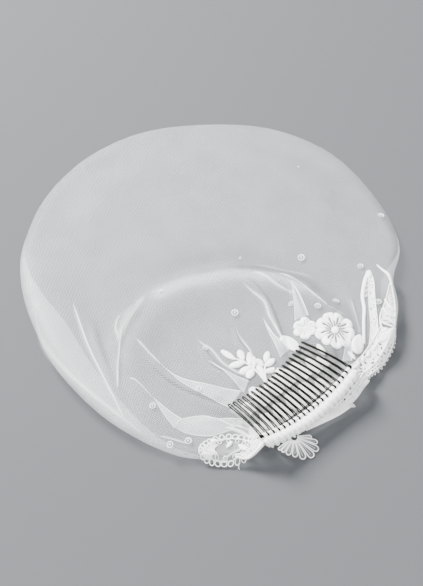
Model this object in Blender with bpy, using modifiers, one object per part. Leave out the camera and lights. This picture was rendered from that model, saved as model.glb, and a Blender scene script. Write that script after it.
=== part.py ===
"""A short bridal veil on a wire comb, laid on a table with its inner side up.

One piece of stiff tulle is gathered into a narrow ribbon binding, and the binding is sewn along the
spine of a wire comb. The tulle puffs up round the comb, sinks behind the puff, and lies out to a cut
hem. Its near sides roll under. Lace flowers, leaves and edgings are sewn on.

Lengths in the tables are millimetres. +Z is up, +Y runs away from the comb's side of the veil.
"""

import math
from collections import namedtuple

import bmesh
import bpy
import numpy as np
from mathutils import Vector
from mathutils.bvhtree import BVHTree

MM = 0.001

# The whole veil is drawn round the middle of its sight line, and is moved so that its box is centred
CENTRE_X = -0.28
CENTRE_Y = 10.95

# Cloth and lace
WALL = 1.0
LACE_WALL = 0.8
SEAM_GAP = 0.3
LACE_GAP = 0.4
LACE_SPAN = 2.0
LACE_PROBES = 8

# Comb
SPINE_X, SPINE_Y = 57.6, -95.4
SPINE_TURN = math.radians(41.6)
SPINE_HALF = 38.5
SPINE_RADIUS = 1.1
SPINE_LOW = 13.0
SPINE_ARCH = 5.0
SPINE_BOW = 4.0
SPINE_LINES = 15
TOOTH_COUNT = 20
TOOTH_PITCH = 3.9
TOOTH_WIRE = 0.37
TOOTH_CLOSING = 0.886
TOOTH_LEAN = -2.9
TOOTH_REACH, TOOTH_REACH_GROWTH = 31.6, 2.1
TOOTH_TIP_LOW, TOOTH_TIP_ARCH = 12.6, 1.4
TOOTH_CROWN = 1.2

# One leg of a hairpin tooth, from root to shoulder: share of its length, half the hairpin's width
TOOTH_LEG = ((0.0, 0.62), (0.35, 0.62), (0.7, 0.75), (0.94, 1.12), (1.0, 0.6))

# Binding, a rolled band along the gathered edge
BINDING_WIDE = 7.2
BINDING_HIGH = 7.6
BINDING_ABOVE_SPINE = 1.6
BINDING_SIDES = 12
BINDING_LINES = 17
GATHER_CLEAR = 0.55
GATHER_BELOW_SPINE = 4.6
GATHER_HALF = 38.0
GATHER_ROUND = math.radians(128.0)

# Puff of the gathered cloth: a crest round a point near the comb, and a groove beyond it
PUFF_X, PUFF_Y = 18.0, -70.0
PLAIN_HEIGHT = 9.0
CREST_RADIUS, CREST_SPREAD, CREST_HEIGHT = 70.0, 17.0, 5.0
CREST_FROM_COMB = 60.0
GROOVE_RADIUS, GROOVE_SPREAD, GROOVE_DEPTH = 90.0, 9.0, 4.5
GATHER_SPREAD = 24.0

# The groove rises from nothing over the first two bearings, and fades over the last two
GROOVE_BEARINGS = (20.0, 50.0, 105.0, 145.0)
GROOVE_FADE = 0.8

# Fine pleats that fan out from a point behind the comb, between these distances from the gathers
PLEATS_PER_RADIAN = 24.8
PLEAT_HEIGHT = 0.6
PLEAT_APEX = 60.0
PLEAT_FROM, PLEAT_FULL, PLEAT_FADE, PLEAT_END = 4.0, 14.0, 25.0, 65.0

# Below the comb's teeth the folds are nearly flat
CALM_REACH, CALM_HALF, CALM_BLEND = 36.0, 40.0, 6.0
CALM_SHARE = 0.85

# How far the turned edge's height reaches into the cloth, and how far the gathers hold it off
EDGE_BLEND = 34.0
GATHER_HOLD = 12.0

# Outline seen from above, from the comb's left end round the hem to its right end.
# roll: radius of the turned edge, turn: how far it turns, flap: what lies flat under it
Station = namedtuple("Station", "x y roll turn flap")
HEM = (
    Station(8.0, -128.0, 3.0, 130.0, 2.0),
    Station(-24.0, -124.0, 4.0, 150.0, 4.0),
    Station(-62.0, -103.0, 6.5, 176.0, 10.0),
    Station(-94.0, -70.0, 8.0, 180.0, 14.0),
    Station(-114.0, -33.0, 8.0, 180.0, 13.0),
    Station(-125.0, 2.0, 7.0, 160.0, 6.0),
    Station(-127.0, 39.0, 8.0, 95.0, 0.5),
    Station(-116.0, 82.0, 14.0, 45.0, 0.0),
    Station(-89.0, 120.0, 20.0, 32.0, 0.0),
    Station(-50.0, 145.0, 24.0, 26.0, 0.0),
    Station(-2.0, 153.0, 24.0, 25.0, 0.0),
    Station(45.0, 148.0, 24.0, 26.0, 0.0),
    Station(86.0, 124.0, 20.0, 32.0, 0.0),
    Station(114.0, 83.0, 14.0, 45.0, 0.0),
    Station(127.0, 41.0, 8.0, 90.0, 0.5),
    Station(120.0, 7.0, 5.0, 150.0, 5.0),
    Station(120.0, -25.0, 5.0, 150.0, 5.0),
    Station(115.0, -47.0, 4.5, 150.0, 4.0),
    Station(107.0, -60.0, 3.0, 130.0, 0.5),
)
COLUMNS = 79
ROWS = 19
ROLL_ROWS = 5
ROW_CROWDING = 0.08
EDGE_SAMPLES = 721

# Folds, from the outer end by a middle point to the end near the comb.
# high: height, wide0 to wide2: half-width at the three points, flat: share of it that is level
Fold = namedtuple("Fold", "x0 y0 x1 y1 x2 y2 high wide0 wide1 wide2 flat")
FOLDS = (
    Fold(-46, -53, -22, -75, 12, -89, 2.2, 2.5, 4.5, 7.0, 0.6),
    Fold(-51, -76, -36, -92, -19, -108, 2.4, 2.5, 3.5, 4.0, 0.0),
    Fold(-20, -109, 0, -108, 18, -109, 2.0, 3.0, 6.0, 4.0, 0.6),
    Fold(-10, -46, 2, -63, 23, -82, 2.0, 2.5, 2.8, 3.2, 0.0),
    Fold(1, -65, 11, -75, 22, -86, 1.6, 2.0, 3.2, 5.0, 0.5),
    Fold(14, -33, 18, -48, 28, -62, 1.8, 2.5, 2.5, 2.8, 0.0),
    Fold(19, 5, 36, -17, 46, -50, 2.5, 3.5, 3.0, 3.0, 0.0),
    Fold(34, -23, 40, -40, 45, -57, 1.6, 2.0, 3.2, 4.5, 0.5),
    Fold(30, 5, 41, -4, 52, -14, 1.5, 4.0, 4.0, 3.0, 0.0),
    Fold(51, -2, 54, -18, 57, -31, 1.8, 1.5, 3.2, 5.0, 0.5),
    Fold(47, 7, 62, -9, 82, -29, 2.0, 3.5, 3.0, 3.0, 0.0),
    Fold(-79, -25, -68, -62, -46, -110, 2.6, 5.0, 4.2, 4.0, 0.0),
    Fold(-45, -14, -60, -48, -58, -83, 2.6, 7.0, 4.5, 3.0, 0.0),
    Fold(90, -7, 92, -21, 93, -34, 1.2, 3.0, 2.8, 2.5, 0.0),
)
FOLD_STEPS = 12
FOLD_RISE = 0.3
FOLD_FALL_FROM, FOLD_FALL = 0.8, 0.5

# Lace pieces that are discs: centre, half sizes, turn, petals, and how deep the scallops are
Disc = namedtuple("Disc", "name x y half_x half_y turn petals notch segments rings")
DISCS = (
    Disc("lace_flower_large", 78.5, -39, 12.6, 13.6, 12, 9, 0.14, 54, 2),
    Disc("lace_flower_small", 57.6, -36.5, 7.0, 7.2, 0, 6, 0.14, 30, 2),
    Disc("lace_bud_left", 49, -48.5, 5.2, 3.8, 320, 3, 0.10, 18, 2),
    Disc("lace_bud_right", 93, -47, 3.8, 6.2, 345, 1, 0.0, 14, 2),
    Disc("lace_medallion", 10, -122.5, 18.0, 8.6, 5, 14, 0.10, 56, 2),
)

# Lace pieces that are leaves: their middle line and half-widths, and lobes along each side
Leaf = namedtuple("Leaf", "name line halves lobes notch lines across")
LEAF_INNER_LINE = ((100, -41), (102, -23), (101, -5), (103, 12))
LEAF_OUTER_LINE = ((112, -37), (114, -22), (116, -4), (108, 17))
LEAVES = (
    Leaf("lace_sprig_left", ((32, -72), (20, -64), (6, -53)), (1.2, 6.4, 1.6), 4, 0.65, 25, 1),
    Leaf("lace_sprig_right", ((37, -72), (37, -63), (39, -51)), (1.2, 5.8, 1.6), 3, 0.65, 19, 1),
    Leaf("lace_leaf_inner", LEAF_INNER_LINE, (4.2, 4.4, 4.6, 1.4), 0, 0.0, 13, 2),
    Leaf("lace_leaf_outer", LEAF_OUTER_LINE, (4.2, 4.8, 2.6, 0.9), 0, 0.0, 13, 2),
    Leaf("lace_side", ((94, -66), (102, -57), (109.5, -44)), (5.6, 6.4, 5.2), 0, 0.0, 9, 3),
)

# The lace panel under the comb: its size along and across the comb, and how deep its leaves are cut
PANEL_HALF = 36.0
PANEL_NEAR, PANEL_FAR, PANEL_LEAF_DEEP = 1.5, 24.0, 9.0
PANEL_LEAVES = 6
PANEL_LINES, PANEL_ACROSS = 37, 5
PANEL_LEAN, PANEL_LEAN_FROM = 0.12, 10.0

# Strips outside the binding: a along the comb, then each side's distance out from it and height
Outside = namedtuple("Outside", "a near near_z far far_z")
EDGING = (
    Outside(12.0, 0.4, 10.4, 1.8, 5.0),
    Outside(21.0, 0.4, 11.2, 3.4, 4.6),
    Outside(30.0, 0.4, 12.6, 4.2, 5.0),
    Outside(38.0, 0.4, 14.2, 3.8, 6.2),
)
RIBBON_END = (
    Outside(-8.0, -4.0, 5.9, -2.4, 2.6),
    Outside(4.0, -4.0, 5.7, 0.0, 1.6),
    Outside(16.0, -2.6, 6.4, 3.2, 1.4),
    Outside(24.0, 3.4, 2.4, 4.8, 1.9),
)

# Fan of petals: bearing in degrees and reach, clockwise from its far end
FAN_X, FAN_Y = 50.0, -115.5
FAN_REACH = ((28.0, 10.0), (0.0, 15.0), (-40.0, 14.5), (-85.0, 10.5), (-130.0, 10.0), (-158.0, 11.0))
FAN_PETALS = 9
FAN_LINES_PER_PETAL = 4
FAN_RINGS = 3
FAN_NOTCH = 0.14
FAN_HUB = 2.0
FAN_ROOT_Z, FAN_TIP_Z = 9.0, 0.4


def smooth(t):
    t = np.clip(t, 0.0, 1.0)
    return t * t * (3.0 - 2.0 * t)


def through(rows, t):
    """A smooth curve through the rows of a table, read at the row numbers t."""
    rows = np.asarray(rows, float)
    padded = np.vstack([2 * rows[0] - rows[1], rows, 2 * rows[-1] - rows[-2]])
    t = np.clip(np.asarray(t, float), 0.0, len(rows) - 1.0)
    i = np.minimum(t.astype(int), len(rows) - 2)
    f = (t - i)[..., None]
    a, b, c, d = (padded[i + k] for k in range(4))
    bend = (2 * a - 5 * b + 4 * c - d) * f**2 + (3 * b - a - 3 * c + d) * f**3
    return 0.5 * (2 * b + (c - a) * f + bend)


def comb_point(a, b):
    """The plan point a along the comb's spine from its middle, and b towards its tips."""
    x = SPINE_X + a * math.cos(SPINE_TURN) - b * math.sin(SPINE_TURN)
    y = SPINE_Y + a * math.sin(SPINE_TURN) + b * math.cos(SPINE_TURN)
    return x, y


def comb_coordinates(x, y):
    dx, dy = x - SPINE_X, y - SPINE_Y
    a = dx * math.cos(SPINE_TURN) + dy * math.sin(SPINE_TURN)
    b = dy * math.cos(SPINE_TURN) - dx * math.sin(SPINE_TURN)
    return a, b


def spine_offset(a):
    return -SPINE_BOW * (1.0 - (a / SPINE_HALF) ** 2)


def spine_height(a):
    return SPINE_LOW + SPINE_ARCH * np.clip(a / SPINE_HALF, -1.0, 1.0) ** 2


def binding_half(above_spine):
    """Half the width of the band's oval section at a height counted from the spine."""
    from_middle = above_spine - BINDING_ABOVE_SPINE + BINDING_HIGH / 2
    return BINDING_WIDE / 2 * math.sqrt(1.0 - (from_middle / (BINDING_HIGH / 2)) ** 2)


GATHER_REACH = binding_half(-GATHER_BELOW_SPINE) + GATHER_CLEAR


def binding_offset(a):
    return spine_offset(a) - SPINE_RADIUS - SEAM_GAP - binding_half(0.0)


def gather_offset(a):
    return binding_offset(a) + GATHER_REACH


def gather_path(share):
    """The gathered edge, straight along the band and then round its right end."""
    straight = 2.0 * GATHER_HALF
    run = share * (straight + GATHER_ROUND * GATHER_REACH)
    a = np.minimum(run, straight) - GATHER_HALF
    angle = np.maximum(run - straight, 0.0) / GATHER_REACH
    across = binding_offset(a) + GATHER_REACH * np.cos(angle)
    return np.stack(comb_point(a + GATHER_REACH * np.sin(angle), across), axis=1)


def fold_height(x, y):
    """Height that the folds add at plan points x, y."""
    total = np.zeros_like(x)
    t = np.linspace(0.0, 1.0, FOLD_STEPS)
    for fold in FOLDS:
        line = through(((fold.x0, fold.y0), (fold.x1, fold.y1), (fold.x2, fold.y2)), 2.0 * t)
        half = through(((fold.wide0,), (fold.wide1,), (fold.wide2,)), 2.0 * t)[:, 0]
        nearest = np.full(x.shape, np.inf)
        along = np.zeros_like(x)
        for k in range(FOLD_STEPS - 1):
            step = line[k + 1] - line[k]
            dx, dy = x - line[k, 0], y - line[k, 1]
            f = np.clip((dx * step[0] + dy * step[1]) / (step @ step), 0.0, 1.0)
            away = np.hypot(dx - f * step[0], dy - f * step[1])
            share = away / (half[k] + f * (half[k + 1] - half[k]))
            closer = share < nearest
            nearest = np.where(closer, share, nearest)
            along = np.where(closer, (k + f) / (FOLD_STEPS - 1), along)
        profile = smooth((1.0 - nearest) / (1.0 - fold.flat))
        fall = FOLD_FALL * smooth((along - FOLD_FALL_FROM) / (1.0 - FOLD_FALL_FROM))
        ends = smooth(along / FOLD_RISE) * (1.0 - fall)
        total = np.maximum(total, fold.high * profile * ends)
    return total


def from_gathers(a, b):
    """Distance of comb coordinates from the gathered edge."""
    beyond = np.maximum(np.abs(a) - GATHER_HALF, 0.0)
    return np.hypot(beyond, b - gather_offset(np.clip(a, -GATHER_HALF, GATHER_HALF)))


def between(value, start, end):
    """0 before start, 1 after end, smooth in between."""
    return smooth((value - start) / (end - start))


def puff(x, y, away):
    """The crest and the groove round the puff; away is the distance from the gathers."""
    from_puff = np.hypot(x - PUFF_X, y - PUFF_Y)
    bearing = np.degrees(np.arctan2(y - PUFF_Y, x - PUFF_X))
    crest = CREST_HEIGHT * np.exp(-(((from_puff - CREST_RADIUS) / CREST_SPREAD) ** 2))
    starts, full, fades, faded = GROOVE_BEARINGS
    facing = between(bearing, starts, full) * (1.0 - GROOVE_FADE * between(bearing, fades, faded))
    groove = GROOVE_DEPTH * np.exp(-(((from_puff - GROOVE_RADIUS) / GROOVE_SPREAD) ** 2))
    return crest * smooth(away / CREST_FROM_COMB) - groove * facing


def pleats(a, b, away):
    angle = np.arctan2(a, b + PLEAT_APEX)
    window = between(away, PLEAT_FROM, PLEAT_FULL) * (1.0 - between(away, PLEAT_FADE, PLEAT_END))
    return PLEAT_HEIGHT * window * np.cos(PLEATS_PER_RADIAN * math.pi * angle)


def field(x, y):
    """Height of the cloth's middle surface over the table, away from its edge."""
    a, b = comb_coordinates(x, y)
    away = from_gathers(a, b)
    raised = spine_height(a) - GATHER_BELOW_SPINE - PLAIN_HEIGHT
    gather = raised * np.exp(-((away / GATHER_SPREAD) ** 2))
    past_teeth = between(b, CALM_REACH, CALM_REACH + CALM_BLEND)
    past_ends = between(np.abs(a), CALM_HALF, CALM_HALF + CALM_BLEND)
    calm = CALM_SHARE * (1.0 - past_teeth) * (1.0 - past_ends)
    folds = fold_height(x, y) * (1.0 - calm)
    return PLAIN_HEIGHT + puff(x, y, away) + gather + pleats(a, b, away) + folds


def hem_frames(t):
    """At station numbers t: where the edge starts to turn, the outward direction, and the roll."""
    row = through(HEM, t)
    step = through(HEM, np.asarray(t) + 1e-3) - through(HEM, np.asarray(t) - 1e-3)
    along = step[:, :2] / np.linalg.norm(step[:, :2], axis=1)[:, None]
    outward = np.stack([-along[:, 1], along[:, 0]], axis=1)
    roll = row[:, 2]
    turn = np.radians(row[:, 3])
    flap = np.maximum(row[:, 4], 0.0)
    reach = roll * np.sin(np.minimum(turn, math.pi / 2))
    start = row[:, :2] - outward * reach[:, None]
    high = roll * (1.0 - np.cos(turn)) + WALL / 2
    return start, outward, roll, turn, flap, high


EDGE = [hem_frames(np.linspace(0.0, len(HEM) - 1.0, EDGE_SAMPLES))[k] for k in (0, 1, 5)]


def height(x, y):
    """Height of the cloth's middle surface inside the turned edge."""
    start, outward, high = EDGE
    k = np.argmin(np.hypot(x[:, None] - start[:, 0], y[:, None] - start[:, 1]), axis=1)
    inside = -np.sum((np.stack([x, y], axis=1) - start[k]) * outward[k], axis=1)
    near = smooth(1.0 - inside / EDGE_BLEND)
    near = near * smooth(from_gathers(*comb_coordinates(x, y)) / GATHER_HOLD)
    free = field(x, y)
    return free + (high[k] - free) * near


def tulle_points():
    """The cloth's middle surface: a column for each section, from the gathers to the hem."""
    t = np.linspace(0.0, len(HEM) - 1.0, COLUMNS)
    start, outward, roll, turn, flap, high = hem_frames(t)
    gather = gather_path(np.linspace(0.0, 1.0, COLUMNS))
    even = np.linspace(0.0, 1.0, ROWS + 1)
    share = even + ROW_CROWDING * np.sin(2 * math.pi * even)
    rows = []
    for v in share:
        plan = gather + (start - gather) * v
        level = height(plan[:, 0], plan[:, 1])
        rows.append(np.column_stack([plan, level]))
    rows[-1][:, 2] = high
    length = roll * turn + flap
    for v in np.linspace(0.0, 1.0, ROLL_ROWS + 1)[1:]:
        angle = np.minimum(v * length / roll, turn)
        back = np.maximum(v * length - roll * turn, 0.0)
        plan = start + outward * (roll * np.sin(angle) - back)[:, None]
        rows.append(np.column_stack([plan, high - roll * (1.0 - np.cos(angle))]))
    return np.stack(rows, axis=1)


def material(name, colour, roughness, metallic=0.0):
    made = bpy.data.materials.new(name)
    made.use_nodes = True
    shader = made.node_tree.nodes["Principled BSDF"]
    shader.inputs["Base Color"].default_value = (*colour, 1.0)
    shader.inputs["Roughness"].default_value = roughness
    shader.inputs["Metallic"].default_value = metallic
    return made


def add_object(name, data, finish):
    made = bpy.data.objects.new(name, data)
    data.materials.append(finish)
    VEIL.objects.link(made)
    return made


def to_world(point):
    return Vector(((point[0] - CENTRE_X) * MM, (point[1] - CENTRE_Y) * MM, point[2] * MM))


def sheet_object(name, points, faces, finish, wall, offset):
    """An open surface given its thickness by Solidify. offset 0 is both ways, 1 is outwards."""
    mesh = bpy.data.meshes.new(name)
    mesh.from_pydata([to_world(p) for p in points], [], faces)
    mesh.update()
    made = add_object(name, mesh, finish)
    thick = made.modifiers.new("wall", "SOLIDIFY")
    thick.thickness = wall * MM
    thick.offset = offset
    return made


def grid_faces(rows, columns, turned=False):
    faces = []
    for i in range(rows - 1):
        for j in range(columns - 1):
            k = i * columns + j
            face = (k, k + 1, k + columns + 1, k + columns)
            faces.append(face[::-1] if turned else face)
    return faces


def make_tulle(finish):
    points = tulle_points()
    columns, rows = points.shape[:2]
    return sheet_object("tulle", points.reshape(-1, 3), grid_faces(columns, rows), finish, WALL, 0.0)


def cloth_levels(tree, x, y, span):
    """Heights of the cloth's upper face at a point and round it, where there is cloth."""
    levels = []
    for k in range(-1, LACE_PROBES):
        angle = 2 * math.pi * k / LACE_PROBES
        radius = span if k >= 0 else 0.0
        above = to_world((x + radius * math.cos(angle), y + radius * math.sin(angle), 60.0))
        hit = tree.ray_cast(above, Vector((0.0, 0.0, -1.0)))[0]
        if hit:
            levels.append(hit.z / MM)
    return levels


def on_cloth(tree, flat):
    """Flat pattern points raised to lie on the cloth, over the highest of what is close round each."""
    placed = []
    for x, y in flat:
        span = LACE_SPAN
        levels = cloth_levels(tree, x, y, span)
        while not levels:
            span += LACE_SPAN
            levels = cloth_levels(tree, x, y, span)
        placed.append((x, y, max(levels) + LACE_GAP))
    return placed


def disc_pattern(disc):
    """Flat points of a scalloped disc and its faces: a middle point, then rings outwards."""
    turn = math.radians(disc.turn)
    points = [(disc.x, disc.y)]
    for ring in range(1, disc.rings + 1):
        share = ring / disc.rings
        for k in range(disc.segments):
            angle = 2 * math.pi * k / disc.segments
            scallop = 1.0 - disc.notch * share * (1.0 - abs(math.sin(disc.petals * angle / 2)))
            u = disc.half_x * share * scallop * math.cos(angle)
            v = disc.half_y * share * scallop * math.sin(angle)
            x = disc.x + u * math.cos(turn) - v * math.sin(turn)
            points.append((x, disc.y + u * math.sin(turn) + v * math.cos(turn)))
    n = disc.segments
    faces = [(0, 1 + k, 1 + (k + 1) % n) for k in range(n)]
    for ring in range(disc.rings - 1):
        inner, outer = 1 + ring * n, 1 + (ring + 1) * n
        faces += [(inner + k, outer + k, outer + (k + 1) % n, inner + (k + 1) % n) for k in range(n)]
    return np.array(points), faces


def leaf_pattern(leaf):
    """Flat points of a leaf on a curved middle line, lobed like a fern where lobes isn't 0."""
    t = np.linspace(0.0, len(leaf.line) - 1.0, leaf.lines)
    middle = through(leaf.line, t)
    half = through([(h,) for h in leaf.halves], t * (len(leaf.halves) - 1) / (len(leaf.line) - 1))[:, 0]
    step = np.gradient(middle, axis=0)
    along = step / np.linalg.norm(step, axis=1)[:, None]
    side = np.stack([-along[:, 1], along[:, 0]], axis=1)
    lobe = np.abs(np.sin(math.pi * leaf.lobes * t / t[-1])) if leaf.lobes else np.ones_like(t)
    half = half * (1.0 - leaf.notch * (1.0 - lobe))
    points = []
    for k in range(leaf.lines):
        for share in np.linspace(1.0, -1.0, 2 * leaf.across + 1):
            points.append(middle[k] + side[k] * half[k] * share)
    return np.array(points), grid_faces(leaf.lines, 2 * leaf.across + 1)


def panel_pattern():
    """Flat points of the lace panel under the comb, with rounded leaves towards the tips."""
    points = []
    for a in np.linspace(-PANEL_HALF, PANEL_HALF, PANEL_LINES):
        leaf = abs(math.sin(math.pi * PANEL_LEAVES * (a + PANEL_HALF) / (2.0 * PANEL_HALF)))
        far = PANEL_FAR + PANEL_LEAF_DEEP * leaf
        for b in np.linspace(far, PANEL_NEAR, PANEL_ACROSS):
            points.append(comb_point(a + PANEL_LEAN * (b - PANEL_LEAN_FROM), b))
    return np.array(points), grid_faces(PANEL_LINES, PANEL_ACROSS)


def make_lace_on_cloth(tulle, finish):
    bpy.context.view_layer.update()
    tree = BVHTree.FromObject(tulle, bpy.context.evaluated_depsgraph_get())
    patterns = [(disc.name, *disc_pattern(disc)) for disc in DISCS]
    patterns += [(leaf.name, *leaf_pattern(leaf)) for leaf in LEAVES]
    patterns.append(("lace_panel", *panel_pattern()))
    for name, flat, faces in patterns:
        sheet_object(name, on_cloth(tree, flat), faces, finish, LACE_WALL, 1.0)


def poly_tube(name, points, radius, resolution, finish):
    curve = bpy.data.curves.new(name, "CURVE")
    curve.dimensions = "3D"
    curve.bevel_depth = radius * MM
    curve.bevel_resolution = resolution
    curve.use_fill_caps = True
    spline = curve.splines.new("POLY")
    spline.points.add(len(points) - 1)
    for slot, point in zip(spline.points, points):
        slot.co = (*to_world(point), 1.0)
    return add_object(name, curve, finish)


def make_spine(finish):
    points = []
    for a in np.linspace(-SPINE_HALF, SPINE_HALF, SPINE_LINES):
        points.append((*comb_point(a, spine_offset(a)), spine_height(a)))
    poly_tube("comb_spine", points, SPINE_RADIUS, 2, finish)


def tooth_path(root):
    """Middle line of one hairpin tooth: up one leg, round the tip and back down the other."""
    share = root / SPINE_HALF
    tip_a = root * TOOTH_CLOSING + TOOTH_LEAN
    root_b = spine_offset(root) + SPINE_RADIUS + SEAM_GAP
    reach = TOOTH_REACH + TOOTH_REACH_GROWTH * share
    root_z = spine_height(root)
    tip_z = TOOTH_TIP_LOW + TOOTH_TIP_ARCH * share**2
    line = [(f, -half) for f, half in TOOTH_LEG] + [(f, half) for f, half in reversed(TOOTH_LEG)]
    points = []
    for f, side in line:
        a = root + (tip_a - root) * f + side
        z = root_z + (tip_z - root_z) * f + TOOTH_CROWN * math.sin(math.pi * f)
        points.append((*comb_point(a, root_b + reach * f), z))
    return points


def make_teeth(finish):
    first = -TOOTH_PITCH * (TOOTH_COUNT - 1) / 2
    for k in range(TOOTH_COUNT):
        poly_tube(f"comb_tooth_{k + 1:02d}", tooth_path(first + TOOTH_PITCH * k), TOOTH_WIRE, 1, finish)


def make_binding(finish):
    """A flattened tube carried along the gathered edge, closed at both ends."""
    stations = np.linspace(-SPINE_HALF, SPINE_HALF, BINDING_LINES)
    points = []
    for a in stations:
        middle_z = spine_height(a) + BINDING_ABOVE_SPINE - BINDING_HIGH / 2
        for k in range(BINDING_SIDES):
            angle = 2 * math.pi * k / BINDING_SIDES
            across = BINDING_WIDE / 2 * math.cos(angle)
            plan = comb_point(a, binding_offset(a) + across)
            points.append((*plan, middle_z + BINDING_HIGH / 2 * math.sin(angle)))
    n = BINDING_SIDES
    faces = []
    for i in range(len(stations) - 1):
        for k in range(n):
            j = (k + 1) % n
            faces.append((i * n + k, i * n + j, (i + 1) * n + j, (i + 1) * n + k))
    faces.append(tuple(range(n))[::-1])
    faces.append(tuple((len(stations) - 1) * n + k for k in range(n)))
    mesh = bpy.data.meshes.new("binding")
    mesh.from_pydata([to_world(p) for p in points], [], faces)
    outward = bmesh.new()
    outward.from_mesh(mesh)
    bmesh.ops.recalc_face_normals(outward, faces=outward.faces)
    outward.to_mesh(mesh)
    outward.free()
    add_object("binding", mesh, finish)


def make_fan(finish):
    """The open fan of petals that stands out from under the binding and slopes to the table."""
    lines = FAN_LINES_PER_PETAL * FAN_PETALS + 1
    points = []
    for k in range(lines):
        share = k / (lines - 1)
        angle, reach = through(FAN_REACH, [share * (len(FAN_REACH) - 1)])[0]
        scallop = 1.0 - FAN_NOTCH * (1.0 - abs(math.sin(math.pi * FAN_PETALS * share)))
        for ring in range(FAN_RINGS + 1):
            r = FAN_HUB + (reach * scallop - FAN_HUB) * ring / FAN_RINGS
            x = FAN_X + r * math.cos(math.radians(angle))
            y = FAN_Y + r * math.sin(math.radians(angle))
            points.append((x, y, FAN_ROOT_Z + (FAN_TIP_Z - FAN_ROOT_Z) * min(r / reach, 1.0)))
    faces = grid_faces(lines, FAN_RINGS + 1, turned=True)
    sheet_object("lace_fan", points, faces, finish, LACE_WALL, 1.0)


def outside_strip(name, rows, lines, across, finish):
    """A strip along the binding's outer side, from Outside rows."""
    table = through(rows, np.linspace(0.0, len(rows) - 1.0, lines))
    points = []
    for a, near, near_z, far, far_z in table:
        side = binding_offset(a) - BINDING_WIDE / 2
        for share in np.linspace(0.0, 1.0, across + 1):
            plan = comb_point(a, side - near - (far - near) * share)
            points.append((*plan, near_z + (far_z - near_z) * share))
    sheet_object(name, points, grid_faces(lines, across + 1), finish, LACE_WALL, 1.0)


def make_edgings(lace, ribbon):
    """The lace edging along the outside of the binding and the ribbon's loose end under it."""
    outside_strip("lace_edging", EDGING, 15, 3, lace)
    outside_strip("ribbon_end", RIBBON_END, 13, 3, ribbon)


for old in list(bpy.data.objects):
    bpy.data.objects.remove(old)
VEIL = bpy.data.collections.new("Veil on a wire comb")
bpy.context.scene.collection.children.link(VEIL)

TULLE = material("tulle_net", (0.86, 0.86, 0.89), 0.7)
LACE = material("lace_thread", (0.95, 0.95, 0.94), 0.6)
RIBBON = material("ribbon", (0.93, 0.93, 0.93), 0.45)
STEEL = material("comb_wire", (0.24, 0.235, 0.21), 0.25, 1.0)

tulle = make_tulle(TULLE)
make_lace_on_cloth(tulle, LACE)
make_spine(STEEL)
make_teeth(STEEL)
make_binding(RIBBON)
make_fan(LACE)
make_edgings(LACE, RIBBON)
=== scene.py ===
"""The looks of a short bridal veil on a wire comb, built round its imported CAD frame.

The net, the rolled binding, the comb and every lace motif are finer versions of the CAD solids that
they replace, in the same places. Lengths in the tables are millimetres in the veil's own plan, with
zero in the middle of the view: +Z is up, +Y runs away from the comb's side of the veil.
"""

import math
from collections import namedtuple

import bpy
import numpy as np
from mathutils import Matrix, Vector


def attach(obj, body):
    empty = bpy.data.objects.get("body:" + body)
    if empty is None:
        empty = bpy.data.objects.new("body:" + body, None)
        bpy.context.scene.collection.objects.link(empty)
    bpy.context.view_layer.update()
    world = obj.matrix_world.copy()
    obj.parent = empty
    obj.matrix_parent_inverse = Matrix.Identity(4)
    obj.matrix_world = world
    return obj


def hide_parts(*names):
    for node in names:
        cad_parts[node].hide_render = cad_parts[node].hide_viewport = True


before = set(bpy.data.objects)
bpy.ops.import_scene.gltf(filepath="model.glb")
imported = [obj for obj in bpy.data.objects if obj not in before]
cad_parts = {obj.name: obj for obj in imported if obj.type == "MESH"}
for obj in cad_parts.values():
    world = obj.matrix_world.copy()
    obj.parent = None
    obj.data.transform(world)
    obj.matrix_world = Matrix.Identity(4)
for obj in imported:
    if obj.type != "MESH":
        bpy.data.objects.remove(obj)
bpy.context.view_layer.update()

MM = 0.001
CENTRE_X = -0.28
CENTRE_Y = 10.95
RANDOM = np.random.default_rng(7)

# Comb, with the CAD's sizes
SPINE_X, SPINE_Y = 57.6, -95.4
SPINE_TURN = math.radians(41.6)
SPINE_HALF = 38.5
SPINE_RADIUS = 1.1
SPINE_LOW = 13.0
SPINE_ARCH = 5.0
SPINE_BOW = 4.0
SEAM_GAP = 0.3
TOOTH_COUNT = 20
TOOTH_PITCH = 3.9
TOOTH_WIRE = 0.44
TOOTH_CLOSING = 0.886
TOOTH_LEAN = -2.9
TOOTH_REACH, TOOTH_REACH_GROWTH = 31.6, 2.1
TOOTH_TIP_LOW, TOOTH_TIP_ARCH = 12.6, 1.4
TOOTH_CROWN = 1.2
TOOTH_LEG = ((0.0, 0.6), (0.25, 0.44), (0.7, 0.42), (0.94, 0.52), (1.0, 0.25))
TOOTH_LOOP, TOOTH_LOOP_FROM, TOOTH_LOOP_TO = 0.5, -20.0, -30.0

# Binding
BINDING_WIDE = 7.2
BINDING_HIGH = 7.6
BINDING_ABOVE_SPINE = 1.6
GATHER_CLEAR = 0.55
GATHER_BELOW_SPINE = 4.6
GATHER_HALF = 38.0
GATHER_ROUND = math.radians(128.0)

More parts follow.
